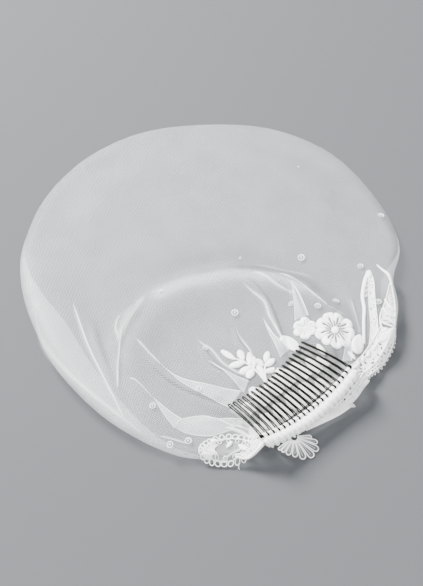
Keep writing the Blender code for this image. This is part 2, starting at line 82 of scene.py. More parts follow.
# Puff of the gathered cloth: a crest round a point near the comb, and a groove beyond it
PUFF_X, PUFF_Y = 18.0, -70.0
PLAIN_HEIGHT = 9.0
CREST_RADIUS, CREST_SPREAD, CREST_HEIGHT = 70.0, 17.0, 5.0
CREST_FROM_COMB = 60.0
GROOVE_RADIUS, GROOVE_SPREAD, GROOVE_DEPTH = 90.0, 9.0, 4.5
GATHER_SPREAD = 24.0
GROOVE_BEARINGS = (20.0, 50.0, 105.0, 145.0)
GROOVE_FADE = 0.8
PLEATS_PER_RADIAN = 24.8
PLEAT_HEIGHT = 0.6
PLEAT_APEX = 60.0
PLEAT_FROM, PLEAT_FULL, PLEAT_FADE, PLEAT_END = 4.0, 14.0, 25.0, 65.0
CALM_REACH, CALM_HALF, CALM_BLEND = 36.0, 40.0, 6.0
CALM_SHARE = 0.85
EDGE_BLEND = 34.0
PAST_ROLL_DROP = 0.6
GATHER_HOLD = 12.0

# Outline seen from above, from the comb's left end round the hem to its right end: x and y, radius of
# the turned edge, how many degrees it turns, and the width of what lies flat under it
HEM = (
    (8, -128, 3, 130, 2),
    (-24, -124, 4, 150, 4),
    (-62, -103, 6.5, 176, 10),
    (-94, -70, 8, 180, 14),
    (-114, -33, 8, 180, 13),
    (-125, 2, 7, 160, 6),
    (-127, 39, 8, 95, 0.5),
    (-116, 82, 14, 45, 0),
    (-89, 120, 20, 32, 0),
    (-50, 145, 24, 26, 0),
    (-2, 153, 24, 25, 0),
    (45, 148, 24, 26, 0),
    (86, 124, 20, 32, 0),
    (114, 83, 14, 45, 0),
    (127, 41, 8, 90, 0.5),
    (120, 7, 5, 150, 5),
    (120, -25, 5, 150, 5),
    (115, -47, 4.5, 150, 4),
    (107, -60, 3, 130, 0.5),
)
WALL = 1.0
COLUMNS = 430
ROWS = 120
ROLL_ROWS = 14
ROW_CROWDING = 0.08
EDGE_SAMPLES = 361

# Folds: three points from the outer end to the one near the comb, height, half-width at the three
# points, and the share of it that is level
FOLDS = (
    (-46, -53, -22, -75, 12, -89, 2.2, 2.5, 4.5, 7, 0.6),
    (-51, -76, -36, -92, -19, -108, 2.4, 2.5, 3.5, 4, 0),
    (-20, -109, 0, -108, 18, -109, 2, 3, 6, 4, 0.6),
    (-10, -46, 2, -63, 23, -82, 2, 2.5, 2.8, 3.2, 0),
    (1, -65, 11, -75, 22, -86, 1.6, 2, 3.2, 5, 0.5),
    (14, -33, 18, -48, 28, -62, 1.8, 2.5, 2.5, 2.8, 0),
    (19, 5, 36, -17, 46, -50, 2.5, 3.5, 3, 3, 0),
    (34, -23, 40, -40, 45, -57, 1.6, 2, 3.2, 4.5, 0.5),
    (30, 5, 41, -4, 52, -14, 1.5, 4, 4, 3, 0),
    (51, -2, 54, -18, 57, -31, 1.8, 1.5, 3.2, 5, 0.5),
    (47, 7, 62, -9, 82, -29, 2, 3.5, 3, 3, 0),
    (-79, -25, -68, -62, -46, -110, 2.6, 5, 4.2, 4, 0),
    (-45, -14, -60, -48, -58, -83, 2.6, 7, 4.5, 3, 0),
    (90, -7, 92, -21, 93, -34, 1.2, 3, 2.8, 2.5, 0),
)
FOLD_STEPS = 12
FOLD_RISE = 0.3
FOLD_FALL_FROM, FOLD_FALL = 0.8, 0.5

# Pleats that are pressed flat on the net: the folded edge and the other edge, from the same tip
FLAPS = (
    (((-32, -65), (-23, -73), (-14, -77), (3, -81), (18, -84)),
     ((-32, -65), (-19, -77.5), (-6, -86), (11, -95))),
    (((-36, -90), (-27, -98), (-18, -104)), ((-36, -90), (-29, -101), (-22.5, -109.5))),
    (((-22.5, -109.5), (-18, -104), (-6, -101.5), (3, -103.5), (14, -109)),
     ((-22.5, -109.5), (-14, -113), (-1, -114), (14, -110))),
    (((3, -103.5), (10, -103), (19, -104)), ((3, -103.5), (9, -106.5), (18, -109))),
    (((-2, -61), (8, -69), (23, -76)), ((-2, -61), (9, -70.5), (20, -84))),
    (((33, -28), (39, -41), (49, -52)), ((33, -28), (37.5, -41), (43.5, -58))),
    (((52, -1), (57, -13), (62, -28)), ((52, -1), (53, -16), (53.5, -31))),
    (((85, -49), (88.5, -50), (88, -60)), ((85, -49), (84, -53), (82.5, -61))),
)

# Creases: points from the thin end to the thick one, then half-width and cover of the sharp line,
# and the same of its soft sides
CREASES = (
    (((-48.5, -45.5), (-41, -54.5), (-32, -65)), 0.9, 0.75, 2.4, 0.3),
    (((-52, -77), (-46.5, -78.5), (-36, -90)), 0.6, 0.75, 1.8, 0.25),
    (((-11, -41), (-6, -47.5), (0, -52), (7, -62), (15, -68.5), (22, -72)), 0.8, 0.85, 2.2, 0.3),
    (((14.5, -31), (18, -42), (24, -52), (27.5, -61), (34, -74)), 0.7, 0.85, 2, 0.25),
    (((16.5, 2), (25.5, -8), (34, -17), (38, -29), (45, -45), (49, -52)), 0.8, 0.9, 2.4, 0.3),
    (((25, 8), (33, 5), (41.5, -4.5), (53, -13)), 0.8, 0.6, 3.2, 0.35),
    (((42, 8.5), (47, 8), (54, 3), (61.5, -7), (66, -12.5), (74, -21)), 1.3, 0.75, 3, 0.35),
    (((72, -21.5), (80, -24), (85, -26)), 0.5, 0.6, 1.4, 0.2),
    (((90.5, -10), (91.5, -18), (93, -28), (94.5, -39)), 0.6, 0.3, 1.8, 0.15),
    (((24, 19), (34, 17.5), (46, 14), (60, 10.5), (66, 8)), 0.9, 0.1, 2.6, 0.1),
    (((-90, -14), (-87, -24), (-78.5, -49), (-70.5, -68), (-63, -84), (-53.5, -104)),
     0.8, 1.0, 3.2, 0.25),
    (((-42, -8), (-46.5, -18), (-52.5, -33), (-58, -50)), 0.6, 0.45, 5.5, 0.22),
    (((-56.5, -36), (-57.5, -48), (-58, -67), (-57.5, -84)), 0.8, 0.9, 2.6, 0.25),
    (((-57, -22), (-60.5, -30), (-61, -38), (-58, -49)), 0.5, 0.6, 2.4, 0.2),
    (((-50, -14), (-54, -26), (-57, -36), (-58, -48)), 0.6, 0.1, 4.5, 0.15),
    (((-116, -10), (-108.5, -44), (-93.5, -68), (-76.5, -86), (-61.5, -99), (-43, -113.5)),
     0.8, 0.35, 3.0, 0.3),
    (((-34, -115), (-24, -117), (-15, -119.5)), 0.6, 0.7, 1.6, 0.25),
    (((-1, -129), (8, -128), (15, -124), (26, -118), (33, -113)), 0.9, 0.7, 2.2, 0.3),
    (((6, -109), (12, -110), (19.5, -113), (25, -116.5), (34, -118)), 1.8, 1.1, 3, 0.4),
    (((14, -103.5), (22, -107.5), (33, -112.5)), 0.9, 0.5, 3, 0.45),
    (((13, -107), (23, -111), (33, -115)), 0.9, 0.6, 3, 0.45),
)

# Where the net's cover is raised, above 0, or lowered, below 0, some of it painted light and shade: a line,
# how far it reaches, how much
BUNCHES_AND_PAINTED_LIGHT = (
    # The puff's crest: partly net bunched there, partly a painted highlight along the crest
    (((-34, -8), (-18, 0), (-4, 3), (12, 7), (26, 7), (36, 6), (47, 4), (58, -3)), 5.5, 1.5),
    # Painted shade in the groove behind the crest: thinner net, so the darker floor shows through
    (((20, 15), (34, 14), (46, 10), (58, 5), (66, -3)), 6, -0.5),
    (((-60, -105), (-80, -84), (-98, -60), (-112, -30), (-120, 10)), 22, 0.35),
    (((-32, -70), (-14, -50), (-4, -20)), 24, 0.12),
    (((80, 90), (100, 50), (104, 10)), 40, -0.12),
)

# Round motifs, and leaves with the half-widths along their middle lines
Disc = namedtuple("Disc", "x y half_x half_y turn petals")
FLOWER_LARGE = Disc(78.5, -39, 12.6, 13.6, 12, 9)
FLOWER_SMALL = Disc(59.6, -36.8, 8.2, 7.6, 0, 6)
MEDALLION = Disc(10, -122.5, 18.0, 8.6, 5, 14)

Leaf = namedtuple("Leaf", "line halves")
BUD_LEFT = Leaf(
    ((43.6, -46.4), (46.2, -45.2), (49.4, -46.6), (52.4, -50.4), (54.2, -54)),
    (1.2, 3.6, 4, 3.8, 1.4),
)
BUD_RIGHT = Leaf(
    ((91.6, -54.6), (91.8, -52.4), (92.6, -48), (93.6, -43.6), (94.2, -41.2)),
    (0.8, 3.2, 4.1, 3, 0.5),
)
INNER_RIM = Leaf(
    ((96.6, -47), (97.6, -30), (98.6, -20), (98.2, -9), (101, 4), (103.4, 9.6)),
    (1, 1.1, 1.2, 1.2, 1.4, 0.8),
)
INNER_BAND = Leaf(
    ((102, -52), (104, -34), (104, -14), (104.7, 1), (104.2, 7.5)),
    (2.6, 2.3, 2.1, 1.7, 1.1),
)
OUTER_RIM = Leaf(
    ((109.3, 15.4), (112.6, 11.2), (117, 6.4), (119.2, -2), (119.9, -16), (117.6, -32)),
    (0.5, 0.9, 1.5, 1.7, 1.5, 0.7),
)
OUTER_INSIDE = ((116.5, 0), (112.8, -14), (109, -24), (108, -31), (109.5, -38))
SIDE = Leaf(
    ((88.5, -72.5), (93, -67), (101.5, -57.5), (109, -46), (112.8, -36)),
    (5.2, 6, 6.6, 6.4, 5),
)
MEDALLION_LEAF = Leaf(((14, -127.5), (22, -128.5), (29.5, -124.5), (33.5, -118.5)), (0.8, 2.2, 2.8, 0.9))

# Small rounded leaves from root to tip, with their half-width
Leaflet = namedtuple("Leaflet", "x0 y0 x1 y1 half")
SPRIG_LEFT = (
    Leaflet(15, -59.8, 6, -52.6, 2), Leaflet(20.1, -60.6, 17.2, -52.4, 2.1),
    Leaflet(21.6, -61.2, 11, -65, 2.2), Leaflet(24.3, -64, 23.8, -55.2, 2),
    Leaflet(25, -65, 17.4, -70, 2.2), Leaflet(26.4, -66.4, 22.4, -73.6, 2.4),
    Leaflet(26.6, -66, 27, -57.8, 1.5),
)
SPRIG_RIGHT = (
    Leaflet(32.4, -64.8, 28.6, -59.2, 2), Leaflet(33.8, -61.8, 35.8, -53.4, 2),
    Leaflet(33.8, -64.4, 39.8, -59.2, 2.1), Leaflet(33.2, -69.7, 39.6, -66.2, 2),
    Leaflet(32.7, -69.7, 28.4, -64.4, 1.8), Leaflet(33.4, -75, 30.4, -68.4, 1.5),
)
STEM_LEFT = ((34, -76.5), (29.5, -70), (24.5, -64.5), (19, -60.8), (14, -58.6))
STEM_RIGHT = ((34, -76.5), (33.3, -69.5), (33.8, -62.5))
SMALL_LEAVES = (
    Leaflet(66.6, -49.4, 71.4, -57.4, 2), Leaflet(37.4, -72.2, 41.4, -74.6, 1.5),
    Leaflet(37.2, -76.2, 39.4, -78.4, 0.9), Leaflet(86, -53.5, 90.5, -58.5, 1.4),
)

# Strips outside the binding: a along the comb, then each side's distance out from it and height
EDGING = (
    (12, 0.4, 10.4, 1.8, 5),
    (21, 0.4, 11.2, 3.4, 4.6),
    (30, 0.4, 12.6, 4.2, 5),
    (38, 0.4, 14.2, 3.8, 6.2),
    (44, -1, 12.6, 4, 6.6),
)
RIBBON_END = (
    (-8, -4, 5.9, -2.4, 2.6),
    (4, -4, 5.7, 0, 1.6),
    (16, -2.6, 6.4, 3.2, 1.4),
    (24, 3.4, 2.4, 4.8, 1.9),
)

# Fan of petals: bearing in degrees and reach, clockwise from its far end
FAN_X, FAN_Y = 50.0, -115.5
FAN_REACH = ((28.0, 10.0), (0.0, 15.0), (-40.0, 14.5), (-85.0, 10.5), (-130.0, 10.0), (-158.0, 11.0))
FAN_PETALS = 9
FAN_HUB = 2.0
FAN_ROOT_Z, FAN_TIP_Z = 9.0, 0.4

# Sequins with a seed bead: place and radius
SEQUINS = (
    (115.7, 61, 2.2), (59.6, 22.4, 2.3), (98.3, 14.3, 1.9), (80.6, -14.1, 2.2), (107.9, -15.2, 2.1),
    (68.1, -21.6, 2), (51, -19, 1.5), (15, -24, 2.3), (-4, -51, 1.7), (-8, -83, 2),
    (-36, -95.9, 1.9), (-14, -118, 2.1), (-25, -121, 2), (-33, -8, 1.3), (19, 24, 0.8),
    (61, 105, 0.7), (39, -73, 1.8), (44, -47, 1.8),
)

# Curves and directions


def shares(count):
    return np.linspace(0.0, 1.0, count)


def circle(count):
    """Angles evenly round a circle, without the last that would repeat the first."""
    return 2 * math.pi * np.arange(count) / count


def arch(t):
    """Half an ellipse: 0 at both ends of 0 to 1, and 1 in the middle."""
    return np.sqrt(np.clip(1.0 - (2.0 * t - 1.0) ** 2, 0.0, 1.0))


def smooth(t):
    t = np.clip(t, 0.0, 1.0)
    return t * t * (3.0 - 2.0 * t)


def between(value, start, end):
    """0 before start, 1 after end, smooth in between."""
    return smooth((value - start) / (end - start))


def through(rows, t):
    """A smooth curve through the rows of a table, read at the row numbers t."""
    rows = np.asarray(rows, float)
    padded = np.vstack([2 * rows[0] - rows[1], rows, 2 * rows[-1] - rows[-2]])
    t = np.clip(np.asarray(t, float), 0.0, len(rows) - 1.0)
    i = np.minimum(t.astype(int), len(rows) - 2)
    f = (t - i)[..., None]
    a, b, c, d = (padded[i + k] for k in range(4))
    square = (2 * a - 5 * b + 4 * c - d) * f**2
    cube = (3 * b - a - 3 * c + d) * f**3
    return 0.5 * (2 * b + (c - a) * f + square + cube)


def even(rows, count):
    """The smooth curve through a table's rows, read at count places."""
    return through(rows, np.linspace(0.0, len(rows) - 1.0, count))


def unit(steps):
    """Directions of steps."""
    return steps / np.maximum(np.linalg.norm(steps, axis=1), 1e-9)[:, None]


def left_of(along):
    return np.stack([-along[:, 1], along[:, 0]], axis=1)


def sides_of(middle):
    """The direction to the left of a line of plan points, at each of them."""
    return left_of(unit(np.gradient(middle, axis=0)))


def run_of(line):
    """Length along a line of points, at each of them."""
    return np.concatenate([[0.0], np.cumsum(np.linalg.norm(np.diff(line, axis=0), axis=1))])


def spread(left, right, u):
    """Points between two borders, at shares u of the way from left to right."""
    return left[:, None] + (right - left)[:, None] * u[:, None]


def from_steps(line, x, y):
    """For each step of a line: how far along it plan points lie, as a share, and how far from it."""
    for start, end in zip(line[:-1], line[1:]):
        step = end - start
        f = np.clip(((x - start[0]) * step[0] + (y - start[1]) * step[1]) / (step @ step), 0.0, 1.0)
        yield f, np.hypot(x - start[0] - f * step[0], y - start[1] - f * step[1])


# The cloth's own shape, as in the CAD


def comb_point(a, b):
    """The plan point a along the comb's spine from its middle, and b towards its tips."""
    x = SPINE_X + a * math.cos(SPINE_TURN) - b * math.sin(SPINE_TURN)
    y = SPINE_Y + a * math.sin(SPINE_TURN) + b * math.cos(SPINE_TURN)
    return x, y


def comb_coordinates(x, y):
    dx, dy = x - SPINE_X, y - SPINE_Y
    a = dx * math.cos(SPINE_TURN) + dy * math.sin(SPINE_TURN)
    b = dy * math.cos(SPINE_TURN) - dx * math.sin(SPINE_TURN)
    return a, b


def spine_offset(a):
    return -SPINE_BOW * (1.0 - (a / SPINE_HALF) ** 2)


def spine_height(a):
    return SPINE_LOW + SPINE_ARCH * np.clip(a / SPINE_HALF, -1.0, 1.0) ** 2


def binding_half(above_spine):
    """Half the width of the band's oval section at a height counted from the spine."""
    from_middle = above_spine - BINDING_ABOVE_SPINE + BINDING_HIGH / 2
    return BINDING_WIDE / 2 * math.sqrt(1.0 - (from_middle / (BINDING_HIGH / 2)) ** 2)


GATHER_REACH = binding_half(-GATHER_BELOW_SPINE) + GATHER_CLEAR


def binding_offset(a):
    return spine_offset(a) - SPINE_RADIUS - SEAM_GAP - binding_half(0.0)


def gather_path(share):
    """The gathered edge, straight along the band and then round its right end."""
    straight = 2.0 * GATHER_HALF
    run = share * (straight + GATHER_ROUND * GATHER_REACH)
    a = np.minimum(run, straight) - GATHER_HALF
    angle = np.maximum(run - straight, 0.0) / GATHER_REACH
    across = binding_offset(a) + GATHER_REACH * np.cos(angle)
    return np.stack(comb_point(a + GATHER_REACH * np.sin(angle), across), axis=1)


def fold_height(x, y):
    """Height that the folds add at plan points x, y."""
    total = np.zeros_like(x)
    for fold in FOLDS:
        high, *halves, flat = fold[6:]
        line = even(np.reshape(fold[:6], (3, 2)), FOLD_STEPS)
        half = even(np.reshape(halves, (3, 1)), FOLD_STEPS)[:, 0]
        nearest = np.full(x.shape, np.inf)
        along = np.zeros_like(x)
        for k, (f, away) in enumerate(from_steps(line, x, y)):
            share = away / (half[k] + f * (half[k + 1] - half[k]))
            closer = share < nearest
            nearest = np.where(closer, share, nearest)
            along = np.where(closer, (k + f) / (FOLD_STEPS - 1), along)
        profile = smooth((1.0 - nearest) / (1.0 - flat))
        fall = FOLD_FALL * between(along, FOLD_FALL_FROM, 1.0)
        ends = smooth(along / FOLD_RISE) * (1.0 - fall)
        total = np.maximum(total, high * profile * ends)
    return total


def from_gathers(a, b):
    """Distance of comb coordinates from the gathered edge."""
    beyond = np.maximum(np.abs(a) - GATHER_HALF, 0.0)
    return np.hypot(beyond, b - binding_offset(np.clip(a, -GATHER_HALF, GATHER_HALF)) - GATHER_REACH)


def puff(x, y, away):
    """The crest and the groove round the puff; away is the distance from the gathers."""
    from_puff = np.hypot(x - PUFF_X, y - PUFF_Y)
    bearing = np.degrees(np.arctan2(y - PUFF_Y, x - PUFF_X))
    crest = CREST_HEIGHT * np.exp(-(((from_puff - CREST_RADIUS) / CREST_SPREAD) ** 2))
    starts, full, fades, faded = GROOVE_BEARINGS
    facing = between(bearing, starts, full) * (1.0 - GROOVE_FADE * between(bearing, fades, faded))
    groove = GROOVE_DEPTH * np.exp(-(((from_puff - GROOVE_RADIUS) / GROOVE_SPREAD) ** 2))
    return crest * smooth(away / CREST_FROM_COMB) - groove * facing


def pleats(a, b, away):
    angle = np.arctan2(a, b + PLEAT_APEX)
    window = between(away, PLEAT_FROM, PLEAT_FULL) * (1.0 - between(away, PLEAT_FADE, PLEAT_END))
    return PLEAT_HEIGHT * window * np.cos(PLEATS_PER_RADIAN * math.pi * angle)


def field(x, y):
    """Height of the cloth's middle surface over the table, away from its edge."""
    a, b = comb_coordinates(x, y)
    away = from_gathers(a, b)
    raised = spine_height(a) - GATHER_BELOW_SPINE - PLAIN_HEIGHT
    gather = raised * np.exp(-((away / GATHER_SPREAD) ** 2))
    past_teeth = between(b, CALM_REACH, CALM_REACH + CALM_BLEND)
    past_ends = between(np.abs(a), CALM_HALF, CALM_HALF + CALM_BLEND)
    calm = CALM_SHARE * (1.0 - past_teeth) * (1.0 - past_ends)
    folds = fold_height(x, y) * (1.0 - calm)
    return PLAIN_HEIGHT + puff(x, y, away) + gather + pleats(a, b, away) + folds


def hem_frames(t):
    """At station numbers t: where the edge starts to turn, the outward direction, and the roll."""
    row = through(HEM, t)
    step = through(HEM, np.asarray(t) + 1e-3) - through(HEM, np.asarray(t) - 1e-3)
    outward = left_of(unit(step[:, :2]))
    roll = row[:, 2]
    turn = np.radians(row[:, 3])
    flap = np.maximum(row[:, 4], 0.0)
    reach = roll * np.sin(np.minimum(turn, math.pi / 2))
    start = row[:, :2] - outward * reach[:, None]
    high = roll * (1.0 - np.cos(turn)) + WALL / 2
    return start, outward, roll, turn, flap, high


EDGE = hem_frames(np.linspace(0.0, len(HEM) - 1.0, EDGE_SAMPLES))


def surface(x, y):
    """Height of the cloth's middle surface at plan points, also where it turns down at its edge."""
    start, outward, roll, turn, flap, high = EDGE
    k = np.empty(len(x), int)
    for part in np.array_split(np.arange(len(x)), len(x) // 4000 + 1):
        k[part] = np.argmin(np.hypot(x[part, None] - start[:, 0], y[part, None] - start[:, 1]), axis=1)
    inside = -np.sum((np.stack([x, y], axis=1) - start[k]) * outward[k], axis=1)
    held = smooth(from_gathers(*comb_coordinates(x, y)) / GATHER_HOLD)
    near = smooth(1.0 - inside / EDGE_BLEND) * held
    free = field(x, y)
    level = free + (high[k] - free) * near
    past = np.clip(-inside / roll[k], 0.0, 1.0)
    drop = roll[k] * (1.0 - np.sqrt(1.0 - past**2)) + PAST_ROLL_DROP * np.maximum(-inside - roll[k], 0.0)
    return np.where(inside < 0.0, np.maximum(level - drop, WALL / 2), level)


# Meshes


def to_world(points):
    """Plan millimetres to the CAD's own metres."""
    return (np.asarray(points, float) - (CENTRE_X, CENTRE_Y, 0.0)) * MM


def new_object(name, data):
    """An object of its own in the scene."""
    made = bpy.data.objects.new(name, data)
    bpy.context.scene.collection.objects.link(made)
    return made


def paired(first, second):
    """Thread coordinates from two arrays that fit each other's shape."""
    return np.stack(np.broadcast_arrays(first, second), axis=2)


class Piece:
    """Points, faces and thread coordinates of one piece, gathered from its parts.

    lay gives the points of a plan on what carries the piece, lifted by a height."""

    def __init__(self, lay=None):
        self.lay = lay
        self.points = []
        self.faces = []
        self.threads = []
        self.finishes = []
        self.covers = []
        self.count = 0

    def grid(self, points, threads, finish=0, closed=False, cover=1.0):
        """Faces over an array of points, rows by columns. closed joins the last column to the first."""
        points = np.asarray(points, float)
        threads = np.asarray(threads, float)
        rows, columns = points.shape[:2]
        last = columns if closed else columns - 1
        i, j = np.meshgrid(np.arange(rows - 1), np.arange(last), indexing="ij")
        i, j = i.ravel(), j.ravel()
        after = (j + 1) % columns
        corners = ((i, j, j), (i, after, j + 1), (i + 1, after, j + 1), (i + 1, j, j))
        faces = np.stack([row * columns + column for row, column, _ in corners], axis=1)
        self.faces.append(self.count + faces)
        self.threads.append(np.stack([threads[row, column] for row, _, column in corners], axis=1))
        self.finishes.append(np.full(len(i), finish))
        self.points.append(points.reshape(-1, 3))
        self.covers.append(np.broadcast_to(cover, (rows, columns)).ravel())
        self.count += rows * columns

    def tube(self, line, radius, finish=0, sides=6, closed=False):
        """A round tube along a line of points. closed joins its ends."""
        line = np.asarray(line, float)
        if closed:
            line = np.vstack([line, line[:1]])
        step = np.gradient(line, axis=0)
        if closed:
            step[0] = step[-1] = line[1] - line[-2]
        along = unit(step)
        side = unit(np.cross(along, (0.0, 0.0, 1.0)))
        rise = np.cross(side, along)
        radius = np.broadcast_to(radius, len(line))[:, None, None]
        angle = circle(sides)[:, None]
        around = side[:, None] * np.cos(angle) + rise[:, None] * np.sin(angle)
        threads = paired(run_of(line)[:, None], np.arange(sides + 1) / sides)
        self.grid(line[:, None] + radius * around, threads, finish, closed=True)

    def make(self, name, finishes, replaces=(), slot=None):
        """The object of what was gathered, riding on the root body."""
        mesh = bpy.data.meshes.new(name)
        faces = np.vstack(self.faces)
        mesh.from_pydata(to_world(np.vstack(self.points)).tolist(), [], faces.tolist())
        layer = mesh.uv_layers.new(name="threads")
        layer.data.foreach_set("uv", np.vstack(self.threads).ravel().astype(np.float32))
        cover = mesh.attributes.new("cover", "FLOAT", "POINT")
        cover.data.foreach_set("value", np.concatenate(self.covers).astype(np.float32))
        mesh.polygons.foreach_set("material_index", np.concatenate(self.finishes).astype(np.int32))
        mesh.polygons.foreach_set("use_smooth", np.ones(len(faces), bool))
        for finish in finishes:
            mesh.materials.append(finish)
        mesh.validate()
        made = new_object(name, mesh)
        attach(made, "root")
        if replaces:
            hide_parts(*replaces)
        return made


# Materials

GLOW_COLOUR = (0.92, 0.92, 0.95, 1.0)
CLOTH_GLOW = 0.15
WAVER, WAVER_SCALE = 1.6, 0.06


class Graph:
    """A material's node tree, with short calls that add a node and give its output."""

    def __init__(self, name):
        self.material = bpy.data.materials.new(name)
        self.material.use_nodes = True
        self.tree = self.material.node_tree
        self.shader = self.tree.nodes["Principled BSDF"]

    def put(self, socket, value):
        if isinstance(value, bpy.types.NodeSocket):
            self.tree.links.new(value, socket)
        else:
            socket.default_value = value

    def node(self, kind, *values, output=0, sockets=(), **settings):
        """A node: values go to its first sockets in order, sockets to the ones they name."""
        node = self.tree.nodes.new("ShaderNode" + kind)
        for key, value in settings.items():
            setattr(node, key, value)
        for socket, value in (*enumerate(values), *dict(sockets).items()):
            self.put(node.inputs[socket], value)
        return node.outputs[output]

    def math(self, operation, a, b=0.0):
        return self.node("Math", a, b, operation=operation)

    def vector(self, operation, *values, **rest):
        return self.node("VectorMath", *values, operation=operation, **rest)

    def plus(self, first, second, share=1.0):
        """first and a share of second."""
        return self.math("ADD", first, self.math("MULTIPLY", second, share))

    def wave(self, value, length):
        """A sine that repeats each length of value."""
        return self.math("SINE", self.math("MULTIPLY", value, 2 * math.pi / length))

    def ramp(self, value, start, end, low=0.0, high=1.0):
        """value carried smoothly from start..end to low..high."""
        return self.node("MapRange", value, start, end, low, high, interpolation_type="SMOOTHSTEP")

    def noise(self, position, scale):
        return self.node("TexNoise", position, output="Fac", sockets={"Scale": scale, "Detail": 3.0})

    def threads(self):
        """The piece's thread coordinates, in millimetres."""
        return self.node("UVMap", uv_map="threads")

    def stretched(self, along, across):
        """The thread coordinates, each times a number of its own."""
        return self.vector("MULTIPLY", self.threads(), (along, across, 0.0))

    def along_across(self):
        """The two thread coordinates apart."""
        return self.node("SeparateXYZ", self.threads()).node.outputs[:2]

    def cover(self):
        """The piece's own share of cover, set at each of its points."""
        return self.node("Attribute", attribute_name="cover", output="Fac")

    def shade(self, colour, other, share):
        """A colour that goes from colour to other by share."""
        sockets = {0: share, 6: (*colour, 1.0), 7: (*other, 1.0)}
        return self.node("Mix", sockets=sockets, output=2, data_type="RGBA")

    def toned(self, colour, low, high, share):
        """A colour that goes from low times itself to high times itself."""
        return self.shade(tuple(low * c for c in colour), tuple(high * c for c in colour), share)

    def bump(self, height, strength, distance):
        sockets = {"Strength": strength, "Distance": distance * MM, "Height": height}
        self.put(self.shader.inputs["Normal"], self.node("Bump", sockets=sockets))

    def set(self, **values):
        """Values for the main shader's sockets, named with _ for a space."""
        for name, value in values.items():
            if isinstance(value, tuple):
                value = (*value, 1.0)
            self.put(self.shader.inputs[name.replace("_", " ")], value)

    def see_through(self, cover, glow):
        """Mixes the main shader with clear air where cover is low, and lets some light through it."""
        soft = self.node("BsdfTranslucent", GLOW_COLOUR)
        thread = self.node("MixShader", glow, self.shader.outputs[0], soft)
        whole = self.node("MixShader", cover, self.node("BsdfTransparent"), thread)
        self.put(self.tree.nodes["Material Output"].inputs["Surface"], whole)

    def woven(self, weave):
        """Leaves only what the weave and the piece's own cover leave at each point."""
        cover = self.node("Math", weave, self.cover(), operation="MULTIPLY", use_clamp=True)
        self.see_through(cover, CLOTH_GLOW)


def hexagons(graph, pitch, turn=0.0):
    """How far a point is from the middle of its mesh of a hexagonal net: 0 to 0.5 at the threads."""
    cell = (0.5, math.sqrt(0.75), 1.0)
    half = (*cell[:2], 0.0)
    back = tuple(-v for v in cell)
    waver = graph.vector("MULTIPLY", graph.noise(graph.threads(), WAVER_SCALE), (WAVER, WAVER, 0.0))
    place = graph.vector("ADD", graph.threads(), waver)
    place = graph.vector("SCALE", place, sockets={"Scale": 1.0 / pitch})
    if turn:
        angle = math.radians(turn)
        place = graph.node("VectorRotate", place, sockets={"Angle": angle}, rotation_type="Z_AXIS")
    first = graph.vector("WRAP", place, cell, back)
    second = graph.vector("WRAP", graph.vector("ADD", place, half), cell, back)
    lengths = [graph.vector("LENGTH", way, output=1) for way in (first, second)]
    nearer = graph.math("LESS_THAN", *lengths)
    nearest = graph.node("Mix", sockets={0: nearer, 4: second, 5: first}, output=1, data_type="VECTOR")
    apart = graph.vector("ABSOLUTE", nearest)
    slant = graph.vector("DOT_PRODUCT", apart, half, output=1)
    return graph.math("MAXIMUM", slant, graph.node("SeparateXYZ", apart))


def net_material(name, colour, pitch, thread, solid, haze, turn):
    """A hexagonal net: thread is its share of the pitch, solid its cover, haze that of the meshes."""
    graph = Graph(name)
    body = graph.ramp(hexagons(graph, pitch, turn), 0.5 - thread * 0.7, 0.5 - thread * 0.3)
    uneven = graph.ramp(graph.noise(graph.threads(), 0.05), 0.3, 0.7, 0.92, 1.08)
    tone = graph.noise(graph.threads(), 0.4)
    graph.set(
        Base_Color=graph.toned(colour, 1.0, 0.95, tone),
        Roughness=0.5,
        Sheen_Weight=0.5,
        Sheen_Roughness=0.3,
    )
    graph.bump(tone, 0.15, 0.1)
    graph.woven(graph.math("MULTIPLY", graph.ramp(body, 0.0, 1.0, haze, solid), uneven))
    return graph.material


def satin_material(name, colour, stitch):
    """Satin stitch: close parallel threads across the motif that meet in a groove along its middle."""
    graph = Graph(name)
    along, across = graph.along_across()
    ridges = graph.wave(graph.plus(along, graph.math("ABSOLUTE", across), 0.6), stitch)
    fuzz = graph.noise(graph.threads(), 3.0)
    # Painted shade: the colour darkens in the grooves between the stitches, where the relief is low
    graph.set(
        Base_Color=graph.toned(colour, 0.9, 1.0, graph.ramp(graph.plus(ridges, fuzz), -0.8, 0.6)),
        Roughness=graph.ramp(fuzz, 0.3, 0.7, 0.42, 0.6),
        Sheen_Weight=0.4,
        Sheen_Roughness=0.35,
    )
    graph.bump(graph.plus(ridges, fuzz, 0.6), 0.35, 0.1)
    return graph.material


def cord_material(name, colour, lay):
    """A twisted thread: slanting strands round the tube."""
    graph = Graph(name)
    along, across = graph.along_across()
    strands = graph.wave(graph.plus(graph.math("DIVIDE", along, lay), across), 0.5)
    # Painted shade: the colour darkens in the grooves between the strands, where the relief is low
    graph.set(
        Base_Color=graph.toned(colour, 0.86, 1.0, graph.ramp(strands, -1.0, 0.3)),
        Roughness=0.5,
        Sheen_Weight=0.4,
    )
    graph.bump(strands, 0.35, 0.08)
    return graph.material


def holed_material(name, colour, size, open_share):
    """Lace mesh with many small uneven holes."""
    graph = Graph(name)
    sockets = {"Vector": graph.threads(), "Scale": 1.0 / size, "Randomness": 0.8}
    from_thread = graph.node("TexVoronoi", sockets=sockets, feature="DISTANCE_TO_EDGE")
    threads = graph.math("SUBTRACT", 1.0, graph.ramp(from_thread, open_share, open_share + 0.1))
    # Painted shade: the threads darken towards the holes, down to 0.22 of their colour
    graph.set(
        Base_Color=graph.toned(colour, 0.22, 1.0, graph.ramp(threads, 0.2, 0.95)),
        Roughness=0.55,
        Sheen_Weight=0.25,
    )
    graph.bump(graph.plus(threads, graph.noise(graph.threads(), 2.5)), 0.6, 0.25)
    graph.woven(graph.ramp(threads, 0.0, 1.0, 0.05, 0.95))
    return graph.material


